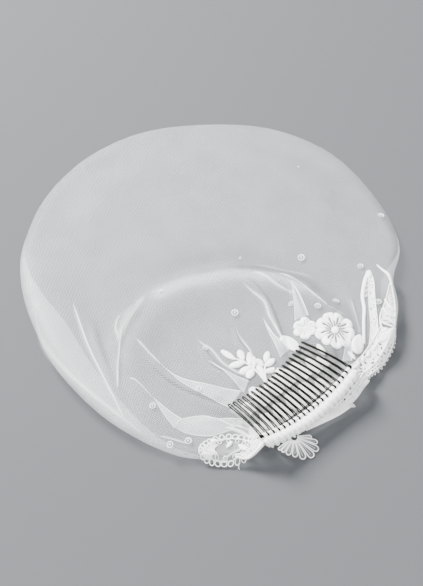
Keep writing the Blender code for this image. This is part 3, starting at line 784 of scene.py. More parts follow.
def gathered_material(name, colour):
    """Net rolled many times: fine crossed threads, with soft creases round the roll."""
    graph = Graph(name)
    net = graph.ramp(hexagons(graph, 0.9), 0.3, 0.42)
    relief = graph.plus(graph.noise(graph.stretched(1.0, 0.35), 0.9), net, 0.25)
    # Painted shade: the colour darkens in the roll's creases, where the relief is low
    graph.set(
        Base_Color=graph.toned(colour, 0.88, 1.0, graph.ramp(relief, 0.35, 0.7)),
        Roughness=0.6,
        Sheen_Weight=0.6,
        Sheen_Roughness=0.4,
    )
    graph.bump(relief, 0.8, 0.6)
    return graph.material


def ribbon_material(name, colour):
    """Satin ribbon: long floating threads, with fine cross ribs."""
    graph = Graph(name)
    along, _ = graph.along_across()
    floats = graph.noise(graph.stretched(0.15, 1.0), 4.0)
    # Painted shade: the colour darkens where the floats lie low in the relief
    graph.set(
        Base_Color=graph.toned(colour, 0.88, 1.0, graph.ramp(floats, 0.3, 0.7)),
        Roughness=graph.ramp(floats, 0.3, 0.7, 0.28, 0.42),
        Sheen_Weight=0.2,
        Anisotropic=0.5,
    )
    graph.bump(graph.plus(floats, graph.wave(along, 0.4), 0.2), 0.25, 0.1)
    return graph.material


def wire_material(name, colour):
    """Dark drawn steel wire: scratches along it and a thin oxide that wears off in patches."""
    graph = Graph(name)
    drawn = graph.noise(graph.stretched(0.3, 9.0), 2.0)
    patches = graph.ramp(graph.noise(graph.threads(), 0.5), 0.45, 0.65)
    graph.set(
        Base_Color=graph.toned(colour, 1.0, 2.0, patches),
        Metallic=1.0,
        Specular_Tint=(0.1, 0.1, 0.09),
        Roughness=graph.ramp(drawn, 0.3, 0.7, 0.4, 0.6),
    )
    graph.bump(drawn, 0.15, 0.03)
    return graph.material


def sequin_material(name):
    """Clear moulded plastic with a pearly film: a bright rim, and a middle that shows what is under it."""
    graph = Graph(name)
    flutes = graph.noise(graph.threads(), 1.5)
    graph.set(
        Base_Color=graph.shade((0.86, 0.9, 0.95), (0.97, 0.95, 0.92), flutes),
        Roughness=graph.ramp(flutes, 0.3, 0.7, 0.08, 0.18),
        Coat_Weight=0.6,
        Thin_Film_Thickness=420.0,
    )
    graph.see_through(graph.ramp(graph.cover(), 0.0, 1.0), 0.25)
    return graph.material


def bead_material(name):
    """Pearly glass with a cloudy colour."""
    graph = Graph(name)
    cloud = graph.noise(graph.threads(), 1.2)
    graph.set(
        Base_Color=graph.shade((0.95, 0.94, 0.92), (0.88, 0.89, 0.93), cloud),
        Roughness=graph.ramp(cloud, 0.3, 0.7, 0.12, 0.22),
        Coat_Weight=0.8,
    )
    return graph.material


def floor_material(name, colour):
    """Matt seamless paper with a faint grain."""
    graph = Graph(name)
    place = graph.node("TexCoord", output="Object")
    graph.set(
        Base_Color=graph.toned(colour, 1.0, 0.95, graph.noise(place, 3.0)),
        Roughness=0.85,
        Specular_IOR_Level=0.2,
    )
    graph.bump(graph.noise(place, 900.0), 0.1, 0.2)
    return graph.material


WHITE = (0.97, 0.97, 0.96)
COOL_WHITE = (0.93, 0.94, 0.97)
NET = net_material("tulle_net", COOL_WHITE, pitch=1.1, thread=0.12, solid=0.55, haze=0.055, turn=17.0)
BUNCHED = net_material("tulle_net_bunched", WHITE, pitch=0.8, thread=0.5, solid=1.0, haze=0.75, turn=40.0)
SATIN = satin_material("lace_satin_stitch", WHITE, stitch=0.4)
CORD = cord_material("lace_cord", WHITE, lay=0.9)
GROUND = net_material("lace_ground", WHITE, pitch=0.9, thread=0.3, solid=0.8, haze=0.1, turn=10.0)
HOLED = holed_material("lace_holed_mesh", WHITE, size=1.6, open_share=0.2)
OPEN = holed_material("lace_open_mesh", WHITE, size=2.7, open_share=0.15)
ROLLED = gathered_material("rolled_net", WHITE)
RIBBON = ribbon_material("satin_ribbon", WHITE)
WIRE = wire_material("comb_wire", (0.011, 0.011, 0.009))
SEQUIN = sequin_material("sequin_plastic")
BEAD = bead_material("seed_bead")
LACE_FINISHES = (SATIN, CORD, GROUND, HOLED, OPEN)
IN_SATIN, IN_CORD, IN_GROUND, IN_HOLED, IN_OPEN = range(5)


# The net

RAW_EDGE = 0.35
GATHER_COVER, GATHER_COVER_REACH = 0.6, 9.0
STRIP_PROFILE = np.array([0.0, 0.25, 0.8, 1.0, 0.8, 0.25, 0.0])
STRIP_RISE = 0.6
FLAP_COVER = 3.0
FLAP_STEPS = 40
FLAP_LIFT, FLAP_EDGE_RISE, FLAP_BELLY = 0.5, 0.6, 0.25
FOLDED_EDGE, FOLDED_EDGE_COVER = 0.5, 1.2
SHARP_LINE, SOFT_SIDES, CREASE_START = 0.7, 0.85, 0.2
CREASE_STEPS = 60


def net_cover(x, y):
    """How densely the net covers plan points: 1 where it lies plain."""
    gathers = from_gathers(*comb_coordinates(x, y))
    cover = 1.0 + GATHER_COVER * np.exp(-((gathers / GATHER_COVER_REACH) ** 2))
    # The bands include a painted highlight along the puff's crest and painted shade in the groove behind it
    for line, reach, much in BUNCHES_AND_PAINTED_LIGHT:
        away = np.minimum.reduce([away for _, away in from_steps(even(line, 16), x, y)])
        cover += much * np.exp(-((away / reach) ** 2))
    return cover


def net_points():
    """The cloth's surface and its thread coordinates: a row for each column of the CAD's plan."""
    start, outward, roll, turn, flap, high = hem_frames(np.linspace(0.0, len(HEM) - 1.0, COLUMNS))
    gather = gather_path(shares(COLUMNS))
    share = shares(ROWS + 1)
    share = share + ROW_CROWDING * np.sin(2 * math.pi * share)
    rows, threads = [], []
    for v in share:
        plan = gather + (start - gather) * v
        rows.append(np.column_stack([plan, surface(*plan.T)]))
        threads.append(plan)
    rows[-1][:, 2] = high
    length = roll * turn + flap
    for v in shares(ROLL_ROWS + 1)[1:]:
        angle = np.minimum(v * length / roll, turn)
        back = np.maximum(v * length - roll * turn, 0.0)
        plan = start + outward * (roll * np.sin(angle) - back)[:, None]
        rows.append(np.column_stack([plan, high - roll * (1.0 - np.cos(angle))]))
        threads.append(start + outward * (v * length)[:, None])
    rows[-1][:, :2] -= outward * RANDOM.uniform(0.0, RAW_EDGE, COLUMNS)[:, None]
    return np.stack(rows, axis=1), np.stack(threads, axis=1)


def on_net(plan, lift):
    """Plan points laid on the net, lift above its surface."""
    plan = np.asarray(plan, float)
    level = surface(*plan.reshape(-1, 2).T).reshape(plan.shape[:-1])
    return np.concatenate([plan, (level + lift)[..., None]], axis=-1)


def make_net():
    """The one large panel, from the gathers to its turned edge."""
    piece = Piece()
    points, threads = net_points()
    piece.grid(points, threads, cover=net_cover(points[..., 0], points[..., 1]))
    return piece.make("net", [NET], ["tulle"], "tulle_net")


def soft_strip(piece, middle, half, cover, lift, finish):
    """A narrow double fold of the net along a line: dense in its middle, clear at its sides."""
    across = np.linspace(-1.0, 1.0, len(STRIP_PROFILE))
    plan = middle[:, None] + sides_of(middle)[:, None] * (half[:, None] * across)[..., None]
    rise = lift + STRIP_RISE * half[:, None] * STRIP_PROFILE
    piece.grid(piece.lay(plan, rise), plan, finish, cover=cover[:, None] * STRIP_PROFILE)


def make_flaps():
    """The pleats that are pressed flat: a second layer of net with a sharp folded edge."""
    piece = Piece(on_net)
    across = shares(9)
    growth = 0.4 + 0.6 * smooth(np.linspace(0.0, 3.0, FLAP_STEPS))
    belly = FLAP_BELLY * np.sin(math.pi * across)
    lift = FLAP_LIFT + FLAP_EDGE_RISE * (1.0 - across) ** 2 + belly
    for flap in FLAPS:
        edge, other = (even(line, FLAP_STEPS) for line in flap)
        plan = spread(edge, other, across)
        piece.grid(on_net(plan, lift), plan * (1.0, 1.04) + 0.5, 0, cover=FLAP_COVER)
        for line, share, high in ((edge, 1.0, 1.1), (other, 0.7, 0.6)):
            part = share * growth
            soft_strip(piece, line, FOLDED_EDGE * part, FOLDED_EDGE_COVER * part, high, 1)
    return piece.make("pleat_flaps", [NET, BUNCHED])


def make_creases():
    """Creases where the net stands in a narrow fold: a bright line with soft sides."""
    piece = Piece(on_net)
    share = shares(CREASE_STEPS)
    taper = between(share, 0.0, 0.3) * (1.0 - 0.35 * between(share, 0.8, 1.0))
    width = CREASE_START + (1.0 - CREASE_START) * taper
    for line, half, cover, soft, soft_cover in CREASES:
        middle = even(line, CREASE_STEPS)
        soft_strip(piece, middle, SOFT_SIDES * soft * width, soft_cover * taper, 0.45, 0)
        soft_strip(piece, middle, SHARP_LINE * half * width, cover * taper, 0.7, 0)
    return piece.make("creases", [BUNCHED])


# Lace primitives

LEAFLET_ROOT = 0.75
GROUND_SHIFT = 40.0


def pad(piece, left, right, crown, base=0.5, across=9):
    """A padded satin patch between two borders, domed across and closed underneath."""
    u = shares(across)
    top = spread(left, right, u)
    width = np.linalg.norm(right - left, axis=1)
    lift = base + crown * arch(u) * np.clip(width / 2.0, 0.2, 1.0)[:, None]
    plan = np.concatenate([top, top[:, ::-1][:, 1:-1:2]], axis=1)
    lifts = np.concatenate([lift, np.full((len(left), plan.shape[1] - across), base - 0.05)], axis=1)
    offsets = np.concatenate([u - 0.5, (u - 0.5)[::-1][1:-1:2], [-0.5]])
    threads = paired(run_of((left + right) / 2.0)[:, None], width[:, None] * offsets)
    piece.grid(piece.lay(plan, lifts), threads, IN_SATIN, closed=True)


def leaf_borders(line, halves, lines, first=1.0, second=-1.0):
    """Two borders along a leaf's middle line, at shares of its half-width, left side first."""
    middle = even(line, lines)
    side = sides_of(middle) * even(np.array(halves)[:, None], lines)
    return middle + side * first, middle + side * second


def ground(piece, left, right, lift=0.45, finish=IN_GROUND, across=5, cover=1.0):
    """A flat patch of fine mesh between two borders."""
    plan = spread(left, right, shares(across))
    piece.grid(piece.lay(plan, lift), plan + GROUND_SHIFT, finish, cover=cover)


def cord(piece, line, radius, lift=0.75, closed=False):
    """A thick thread along a line of plan points."""
    piece.tube(piece.lay(line, lift), radius, IN_CORD, closed=closed)


def leaflet(piece, leaf, crown=0.95, base=0.5):
    """A small plump leaf, rounded at its tip and narrower at its root."""
    share = 0.5 - 0.5 * np.cos(math.pi * shares(16))
    root, tip = np.array([leaf.x0, leaf.y0]), np.array([leaf.x1, leaf.y1])
    middle = root + (tip - root) * share[:, None]
    half = leaf.half * arch(share) * (LEAFLET_ROOT + (1.0 - LEAFLET_ROOT) * smooth(2.0 * share))
    side = sides_of(middle) * np.maximum(half, 0.03)[:, None]
    pad(piece, middle + side, middle - side, crown, base)


def polar(disc, share, angle):
    """Plan point of a disc at a share of its radius and an angle of its own."""
    u, v = disc.half_x * share * np.cos(angle), disc.half_y * share * np.sin(angle)
    turn = math.radians(disc.turn)
    x = disc.x + u * math.cos(turn) - v * math.sin(turn)
    y = disc.y + u * math.sin(turn) + v * math.cos(turn)
    return np.stack([x, y], axis=-1)


def ellipse(x, y, half_x, half_y, turn, count):
    """Plan points round an ellipse."""
    return polar(Disc(x, y, half_x, half_y, turn, 0), 1.0, circle(count))


def button(piece, disc, share, crown):
    """A round domed centre."""
    ring = np.linspace(0.02, 1.0, 6)[:, None]
    plan = polar(disc, share * ring, circle(28))
    threads = np.concatenate([plan, plan[:, :1]], axis=1)
    high = 0.5 + crown * np.sqrt(1.0 - 0.98 * ring * ring)
    piece.grid(piece.lay(plan, high), threads, IN_SATIN, closed=True)


def petal(piece, disc, form, middle, way, growth):
    """Half a petal, from its middle line round to its side. A slit by the centre parts the halves."""
    t, u = shares(20)[:, None], shares(10)[None]
    edge = growth * (1.0 - form.notch * u**2.4)
    reach = form.hub + (edge - form.hub) * t
    open_middle = form.slit * (1.0 - between(t, 0.5, 0.68)) / reach
    open_side = 0.8 * form.slit * (1.0 - between(t, 0.3, 0.5)) / reach
    turn = open_middle + (math.pi / disc.petals - open_middle - open_side) * u
    joined = between(t, 0.45, 0.7)
    dome = 0.35 + 0.65 * (arch(u) * (1.0 - joined) + np.sqrt(1.0 - u**2) * joined)
    rounded_tip = np.sqrt(1.0 - np.clip((t - 0.78) / 0.22, 0.0, 1.0) ** 2)
    high = 0.3 + form.crown * dome * rounded_tip * (0.5 + 0.5 * smooth(t / 0.15))
    plan = polar(disc, reach, middle + way * turn)
    size = (disc.half_x + disc.half_y) / 2.0
    threads = np.stack([size * reach, size * reach * turn + 9.0 * middle], axis=2)
    piece.grid(piece.lay(plan, high)[:, ::way], threads[:, ::way], IN_SATIN)


def petal_ring(piece, disc, form):
    """Petals side by side round a centre."""
    for k in range(disc.petals):
        growth = 1.0 + form.uneven * RANDOM.uniform(-1.0, 1.0)
        for way in (1, -1):
            petal(piece, disc, form, 2 * math.pi * (k + 0.5) / disc.petals, way, growth)


def rungs(piece, left, right, count, radius, lift=0.7):
    """Short threads across from one border to the other."""
    for k in np.linspace(1, len(left) - 2, count).astype(int):
        cord(piece, left[k] + (right[k] - left[k]) * shares(4)[:, None], radius, lift)


def loops(piece, line, size, radius, lift=0.7):
    """A row of small rings along a line of plan points."""
    for k, place in enumerate(line):
        cord(piece, ellipse(*place, size, size * 0.8, 40.0 * k, 14), radius, lift, closed=True)


def stitch(piece, name):
    """Makes the lace motif that stands for the CAD's node of this name."""
    piece.make(name + "_stitched", LACE_FINISHES, [name], "lace_thread")


# Lace motifs on the net

# A flower's petals: hub, slit and notch in shares of its radius, crown in millimetres, and how uneven
Petals = namedtuple("Petals", "hub slit notch crown uneven")
LARGE_PETALS = Petals(0.25, 0.046, 0.13, 1.0, 0.06)
SMALL_PETALS = Petals(0.14, 0.012, 0.2, 1.15, 0.05)
SPRIG_FULLNESS = 1.15

# Pads of the lace under the comb: place along the spine, near and far end on the way to the tips,
# and half-width
PANEL_PADS = (
    (-33, 2, 13, 4.6), (-22.5, 1.5, 14.5, 5), (-11.5, 1.5, 15, 5.1),
    (-0.5, 1.5, 15.5, 5.1), (10.5, 1.5, 15, 5), (20, 1.5, 11, 3.2),
    (-24.5, 18.5, 27.5, 4.6), (-13.5, 17.5, 33, 5), (-2.5, 18, 31.5, 4.8),
    (8, 18, 32.5, 4.8), (18, 15, 30, 4.4), (26.5, 13, 26, 3),
    (32.5, 12.5, 22, 2.2),
)
PANEL_TILT = 0.06
PANEL_LEAF = np.array([(0.0, 0.75), (0.35, 1.0), (0.7, 0.92), (1.0, 0.3)])
PANEL_GROUND = (-36.0, 30.0, 2.0, 30.0)
PANEL_GROUND_COVER = 0.5

LEAF_STEPS = 80
INNER_RUNGS_FROM, INNER_RUNGS_TO, INNER_RUNGS = 0.55, 0.9, 11
OUTER_STRAPS = (
    ((109.6, -29), (113.5, -29.5), (117.6, -33)), ((108.4, -31), (112, -33), (117.6, -35)),
    ((110.8, -20), (113, -24.5), (117.5, -27)), ((112.4, -13), (115, -19), (118.4, -22)),
)
OUTER_FOOT = Leaflet(106.5, -46.0, 118.0, -35.5, 3.2)
SIDE_STEPS = 70
SIDE_LEAFLET, SIDE_LEAFLET_HALF = 5.0, 1.5
MEDALLION_RINGS, MEDALLION_RING_SIZE = 25, 1.75
MEDALLION_LEAF_RIM = (0.55, 1.7)
MEDALLION_BLOBS = (
    Leaflet(-6, -125.5, 0.5, -127.5, 1.5), Leaflet(-1, -117.5, 3.5, -116.8, 1.4),
    Leaflet(9, -121.5, 12.5, -117.5, 1.3), Leaflet(16, -119.5, 21, -123.5, 1.6),
)
LOOSE_THREAD = ((16.0, -130.5, 3.0), (16.6, -131.6, 1.9), (16.2, -132.4, 1.0), (17.0, -133.2, 0.6))


def make_flower_large():
    """The large flower: slit petals round a domed centre, with loose threads between them."""
    piece = Piece(on_net)
    petal_ring(piece, FLOWER_LARGE, LARGE_PETALS)
    button(piece, FLOWER_LARGE, 0.19, 1.0)
    rim, hub = (polar(FLOWER_LARGE, share, 2 * math.pi * shares(49)) for share in (0.9, 0.05))
    ground(piece, rim, hub, 0.2, cover=0.2)
    for k in range(FLOWER_LARGE.petals):
        angle = 2 * math.pi * (k + 0.3) / FLOWER_LARGE.petals
        cord(piece, polar(FLOWER_LARGE, np.linspace(0.15, 0.3, 6), angle), 0.13, 0.7)
    stitch(piece, "lace_flower_large")


def make_flower_small():
    """The small flower by the comb's tips."""
    piece = Piece(on_net)
    petal_ring(piece, FLOWER_SMALL, SMALL_PETALS)
    button(piece, FLOWER_SMALL, 0.17, 1.1)
    stitch(piece, "lace_flower_small")


def make_bud(name, leaf):
    """A plump leaf beside the flowers."""
    piece = Piece(on_net)
    pad(piece, *leaf_borders(*leaf, 30), 1.3, across=13)
    stitch(piece, name)


def make_sprig(name, leaves, stem):
    """A stem with rounded leaves."""
    piece = Piece(on_net)
    cord(piece, even(stem, 60), np.linspace(0.8, 0.5, 60), 0.8)
    for leaf in leaves:
        leaflet(piece, leaf._replace(half=SPRIG_FULLNESS * leaf.half))
    stitch(piece, name)


def make_panel():
    """The lace under the comb: two rows of leaves that point to its tips, on a fine mesh."""
    piece = Piece(on_net)
    first, last, near, far = PANEL_GROUND
    a = np.linspace(first, last, 73)
    near_side, far_side = (np.stack(comb_point(a, b), axis=1) for b in (near, far))
    ground(piece, far_side, near_side, 0.4, across=22, cover=PANEL_GROUND_COVER)
    share, fullness = PANEL_LEAF.T
    for place, near, far, half in PANEL_PADS:
        b = near + (far - near) * share
        leaf = Leaf(np.stack(comb_point(place - PANEL_TILT * b, b), axis=1), fullness * half)
        pad(piece, *leaf_borders(*leaf, 30), 0.3, across=13)
        left, right = leaf_borders(*leaf, 30, 1.02, -1.02)
        cord(piece, np.vstack([left, right[::-1]]), 0.2, 0.4)
    stitch(piece, "lace_panel")


def make_leaf_inner():
    """The long leaf by the flower: a stitched stroke, a slit with rungs, and a band of fine mesh."""
    piece = Piece(on_net)
    rim = leaf_borders(*INNER_RIM, LEAF_STEPS)
    pad(piece, *rim, 0.8)
    band = leaf_borders(*INNER_BAND, LEAF_STEPS)
    ground(piece, *band, 0.55, IN_HOLED, across=9)
    for border in band:
        cord(piece, border, 0.26, 0.7)
    part = slice(int(INNER_RUNGS_FROM * LEAF_STEPS), int(INNER_RUNGS_TO * LEAF_STEPS))
    rungs(piece, rim[1][part], band[0][part], INNER_RUNGS, 0.3)
    tip_x, tip_y = INNER_RIM.line[-1]
    leaflet(piece, Leaflet(tip_x - 0.2, tip_y - 5.0, tip_x + 0.3, tip_y + 1.4, 2.3), 0.9)
    stitch(piece, "lace_leaf_inner")


def make_leaf_outer():
    """The leaf at the hem: a thick curved stroke, cross straps, and open mesh between them."""
    piece = Piece(on_net)
    rim = leaf_borders(*OUTER_RIM, LEAF_STEPS)
    pad(piece, *rim, 0.8)
    inside = even(OUTER_INSIDE, 60)
    cord(piece, inside, np.linspace(0.35, 0.65, 60), 0.8)
    ground(piece, rim[0][32::2], inside[:48:2], 0.5, IN_HOLED, across=6, cover=0.85)
    for strap in OUTER_STRAPS:
        cord(piece, even(strap, 16), 0.75, 0.85)
    leaflet(piece, OUTER_FOOT, 0.8)
    stitch(piece, "lace_leaf_outer")


def make_side():
    """The dense lace between the comb and the hem: holed mesh, ringed along its edges."""
    piece = Piece(on_net)
    left, right = leaf_borders(*SIDE, SIDE_STEPS)
    ground(piece, left, right, 0.6, IN_OPEN, across=14)
    cord(piece, left, 0.4, 0.9)
    middle = leaf_borders(*SIDE, SIDE_STEPS, -0.4, -0.78)
    cord(piece, middle[0], 0.35, 0.95)
    rungs(piece, *middle, 28, 0.25, 0.95)
    cord(piece, leaf_borders(*SIDE, SIDE_STEPS, -0.9)[0], 0.45, 0.8)
    for k in range(6, 66, 7):
        x, y = left[k] + (right[k] - left[k]) * 0.25
        bearing = math.radians(60.0 + 25.0 * math.sin(k))
        tip = x + SIDE_LEAFLET * math.cos(bearing), y + SIDE_LEAFLET * math.sin(bearing)
        leaflet(piece, Leaflet(x, y, *tip, SIDE_LEAFLET_HALF))
    loops(piece, right[3::4], 0.9, 0.24)
    stitch(piece, "lace_side")


def make_medallion():
    """The scalloped medallion at the near hem: rings round a mesh, with one dense curved leaf."""
    piece = Piece(on_net)
    angle = 2 * math.pi * shares(73)
    ground(piece, polar(MEDALLION, 0.92, angle), polar(MEDALLION, 0.02, angle), 0.5, across=12, cover=0.2)
    around = circle(MEDALLION_RINGS)
    loops(piece, polar(MEDALLION, 0.9, around), MEDALLION_RING_SIZE, 0.34, 0.85)
    loops(piece, polar(MEDALLION, 0.62, around[::2]), 1.2, 0.26, 0.85)
    cord(piece, polar(MEDALLION, 0.76, angle[:-1]), 0.36, 0.9, closed=True)
    hatch = 2 * math.pi * np.linspace(0.34, 0.6, 16)
    rungs(piece, polar(MEDALLION, 0.74, hatch), polar(MEDALLION, 0.45, hatch + 0.12), 14, 0.22, 0.8)
    cord(piece, even(MEDALLION_LEAF.line, 40), np.linspace(*MEDALLION_LEAF_RIM, 40), 1.1)
    left, right = leaf_borders(*MEDALLION_LEAF, 36, 1.8, 0.2)
    ground(piece, left, right, 0.7, IN_OPEN, across=9)
    rungs(piece, left, right, 9, 0.24, 0.95)
    cord(piece, left, 0.4, 0.95)
    for blob in MEDALLION_BLOBS:
        leaflet(piece, blob, 0.8, 0.7)
    piece.tube(even(LOOSE_THREAD, 20), 0.16, IN_CORD)
    stitch(piece, "lace_medallion")


# Lace and ribbon outside the binding

FAN_CORD = 0.36
FAN_LOOP_ROUND = 0.92
FAN_LOOP_OPEN = 0.86
FAN_SLOPE = 14.0
FAN_COLLAR = 2.6
EDGING_STEPS, EDGING_ACROSS = 90, 12
RIBBON_STEPS, RIBBON_ACROSS = 90, 14
RIBBON_WAVE = 0.35
FRAYED_THREADS = 7


def fan_reach(share):
    """Bearing in radians and reach of the fan at a share of its sweep."""
    bearing, reach = through(FAN_REACH, [share * (len(FAN_REACH) - 1)])[0]
    return math.radians(bearing), reach


def on_fan(plan, lift):
    """Plan points on the fan's slope from the binding to the table."""
    plan = np.asarray(plan, float)
    away = np.hypot(plan[..., 0] - FAN_X, plan[..., 1] - FAN_Y)
    level = FAN_ROOT_Z + (FAN_TIP_Z - FAN_ROOT_Z) * np.clip(away / FAN_SLOPE, 0.0, 1.0)
    return np.concatenate([plan, (level + lift)[..., None]], axis=-1)


def make_fan():
    """Open petals side by side: a cord round each that ends in a round tip, and sheer mesh inside."""
    piece = Piece(on_fan)
    hub = np.array([FAN_X, FAN_Y])
    arc = np.linspace(math.pi / 2, -math.pi / 2, 16)[:, None]
    f = np.linspace(0.0, 0.9, 10)[:, None]
    for k in range(FAN_PETALS):
        start, middle, end = (fan_reach((k + share) / FAN_PETALS)[0] for share in (0.0, 0.5, 1.0))
        reach = fan_reach((k + 0.5) / FAN_PETALS)[1]
        along = np.array([math.cos(middle), math.sin(middle)])
        side = np.array([-along[1], along[0]])
        spread_out = math.tan(0.5 * abs(start - end)) * FAN_LOOP_OPEN
        tip_radius = reach * spread_out / (1.0 + spread_out) * FAN_LOOP_ROUND
        centre = reach - tip_radius
        round_tip = hub + (centre + tip_radius * np.cos(arc)) * along + tip_radius * np.sin(arc) * side
        root = hub + along * FAN_HUB
        first, last = (root * (1.0 - f) + tip * f + side * way * 0.25 * (1.0 - f)
                       for tip, way in ((round_tip[0], 1.0), (round_tip[-1], -1.0)))
        outline = np.vstack([first, round_tip, last[::-1]])
        half = len(outline) // 2
        ground(piece, outline[:half], outline[half:][::-1], 0.2, cover=0.2)
        cord(piece, outline, FAN_CORD, 0.4)
        cord(piece, hub + along * np.linspace(FAN_HUB, centre, 8)[:, None], 0.1, 0.35)
    bearings = np.array([fan_reach(share)[0] for share in shares(40)])
    cord(piece, hub + FAN_COLLAR * np.column_stack([np.cos(bearings), np.sin(bearings)]), 0.6, 0.5)
    stitch(piece, "lace_fan")


def outside_points(rows, along, across, lift):
    """Points of a strip along the binding's outer side, from a table's rows."""
    a, near, near_z, far, far_z = even(rows, along).T[..., None]
    across = np.asarray(across)
    x, y = comb_point(a, binding_offset(a) - BINDING_WIDE / 2 - near - (far - near) * across)
    return np.stack([x, y, near_z + (far_z - near_z) * across + lift], axis=2)


def make_edging():
    """The lace that hangs from the binding's outer side: two rows of rungs and a ringed edge."""
    piece = Piece()
    strip = outside_points(EDGING, EDGING_STEPS, shares(EDGING_ACROSS), 0.3)
    piece.grid(strip, paired(34.0 * shares(EDGING_STEPS)[:, None], 9.0 * shares(EDGING_ACROSS)), IN_OPEN)
    for share, radius in ((0.05, 0.4), (0.45, 0.32), (0.8, 0.32)):
        piece.tube(outside_points(EDGING, EDGING_STEPS, [share], 0.6)[:, 0], radius, IN_CORD)
    for bar in outside_points(EDGING, 26, [0.45, 0.62, 0.8], 0.6):
        piece.tube(bar, 0.24, IN_CORD)
    for x, y, z in outside_points(EDGING, 22, [0.98], 0.3)[:, 0]:
        ring = ellipse(x, y, 0.8, 0.6, 40.0, 12)
        piece.tube(np.column_stack([ring, np.full(len(ring), z)]), 0.24, IN_CORD, closed=True)
    stitch(piece, "lace_edging")


def make_ribbon_end():
    """The ribbon's loose end: it waves a little, and its cut corner frays."""
    piece = Piece()
    along, across = shares(RIBBON_STEPS)[:, None], shares(RIBBON_ACROSS)
    strip = outside_points(RIBBON_END, RIBBON_STEPS, across, 0.4)
    strip[..., 2] += RIBBON_WAVE * np.sin(9.0 * along) * np.sin(math.pi * across)
    piece.grid(strip, paired(32.0 * along, 6.0 * across))
    for k in range(FRAYED_THREADS):
        loose = ((0, 0, 0), (0.8, 0.5, 0.3), (1.6 + 0.3 * k, 0.9, 0.1), (2.2, 1.6 + 0.2 * k, 0.3))
        piece.tube(even(strip[-1, 1 + 2 * k] + np.array(loose), 12), 0.1, 1, sides=4)
    piece.make("ribbon_end_woven", [RIBBON, CORD], ["ribbon_end"], "ribbon")


# Binding and comb

BINDING_STEPS, BINDING_SIDES = 520, 64
BINDING_END, BINDING_END_ROUND = 2.5, 2.6
TOOTH_RAISE, TOOTH_RAISE_LEFT = 0.45, 0.25
TOOTH_STEPS = 46
LEG_APART = 0.62
HOOK_TURN = 0.75 * 2 * math.pi
COIL_WIRE, COIL_TURNS, COIL_HALF = 0.2, 2, 0.75
SPINE_BAR, SPINE_BAR_OFF = 0.4, 0.42
WRAP_THREAD, WRAP_TURNS, WRAP_HALF = 0.33, 4, 1.25

# Stitches over the binding: where they start and end, in half turns round it, and their slant
STITCHES = ((0.06, 0.5, 1.2), (0.42, 0.95, -1.0))
STITCH_THREAD = 0.2


def on_binding(a, turn, size=1.0, out=0.0):
    """Points on the roll: turn goes round its section from the comb's side over the top."""
    x, y = comb_point(a, binding_offset(a) + (BINDING_WIDE / 2 * size + out) * np.cos(turn))
    middle_z = spine_height(a) + BINDING_ABOVE_SPINE - BINDING_HIGH / 2
    return np.stack([x, y, middle_z + (BINDING_HIGH / 2 * size + out) * np.sin(turn)], axis=-1)


def make_binding():
    """The rolled net: an oval roll, puckered where the sewing pulls it in."""
    piece = Piece()
    angle = 2 * math.pi * np.arange(BINDING_SIDES + 1) / BINDING_SIDES
    a = np.linspace(-SPINE_HALF, SPINE_HALF, BINDING_STEPS)[:, None]
    past = np.maximum(np.abs(a) - SPINE_HALF + BINDING_END, 0.0) / BINDING_END_ROUND
    pull = 0.11 * np.cos(2 * math.pi * a / TOOTH_PITCH + 0.5 * np.sin(0.31 * a))
    crease = 0.08 * np.sin(2.1 * a + 2.0 * np.sin(angle) + 1.3 * np.sin(0.7 * a))
    crease += 0.06 * np.sin(4.7 * a + 3.0 * np.cos(angle + 0.4 * a))
    size = (1.0 + pull + crease - 0.05) * np.sqrt(np.clip(1.0 - past**2, 0.0, 1.0))
    points = on_binding(a, angle, size)[:, :-1]
    piece.grid(points, paired(a, angle * BINDING_WIDE / 2), closed=True)
    made = piece.make("binding_rolled", [ROLLED], ["binding"], "ribbon")


def tooth_points(root):
    """Middle line of one hairpin tooth: up one leg, round the tip and back down the other."""
    share = root / SPINE_HALF
    tip_a = root * TOOTH_CLOSING + TOOTH_LEAN
    root_b = spine_offset(root) + SPINE_RADIUS + SEAM_GAP
    reach = TOOTH_REACH + TOOTH_REACH_GROWTH * share
    root_z = spine_height(root)
    tip_z = TOOTH_TIP_LOW + TOOTH_TIP_ARCH * share**2
    widening = TOOTH_LOOP * between(root, TOOTH_LOOP_FROM, TOOTH_LOOP_TO)
    rise = TOOTH_RAISE + TOOTH_RAISE_LEFT * between(root, 5.0, -30.0)
    rows = [(f, -half) for f, half in TOOTH_LEG] + [(f, half) for f, half in reversed(TOOTH_LEG)]
    f, side = even(rows, TOOTH_STEPS).T
    a = root + (tip_a - root) * f + side * (1.0 + widening * f)
    z = root_z + (tip_z - root_z) * f + TOOTH_CROWN * np.sin(math.pi * f) + rise * smooth(6.0 * f)
    return np.column_stack([*comb_point(a, root_b + reach * f), z])


def tooth_roots():
    """Places of the teeth along the spine."""
    first = -TOOTH_PITCH * (TOOTH_COUNT - 1) / 2
    return [first + TOOTH_PITCH * k for k in range(TOOTH_COUNT)]


def around_spine(a, turn, radius):
    """Points beside the spine: turn goes round it from its inner side over the top."""
    x, y = comb_point(a, spine_offset(a) + radius * np.cos(turn))
    return np.stack(np.broadcast_arrays(x, y, spine_height(a) + radius * np.sin(turn)), axis=-1)


def coil(middle, half, turns, radius):
    """A few turns round the spine on both sides of middle."""
    turn = np.linspace(0.0, 2 * math.pi * turns, 20 * turns)
    a = np.clip(middle + half * (2.0 * turn / turn[-1] - 1.0), -SPINE_HALF, SPINE_HALF)
    return around_spine(a, turn, radius)


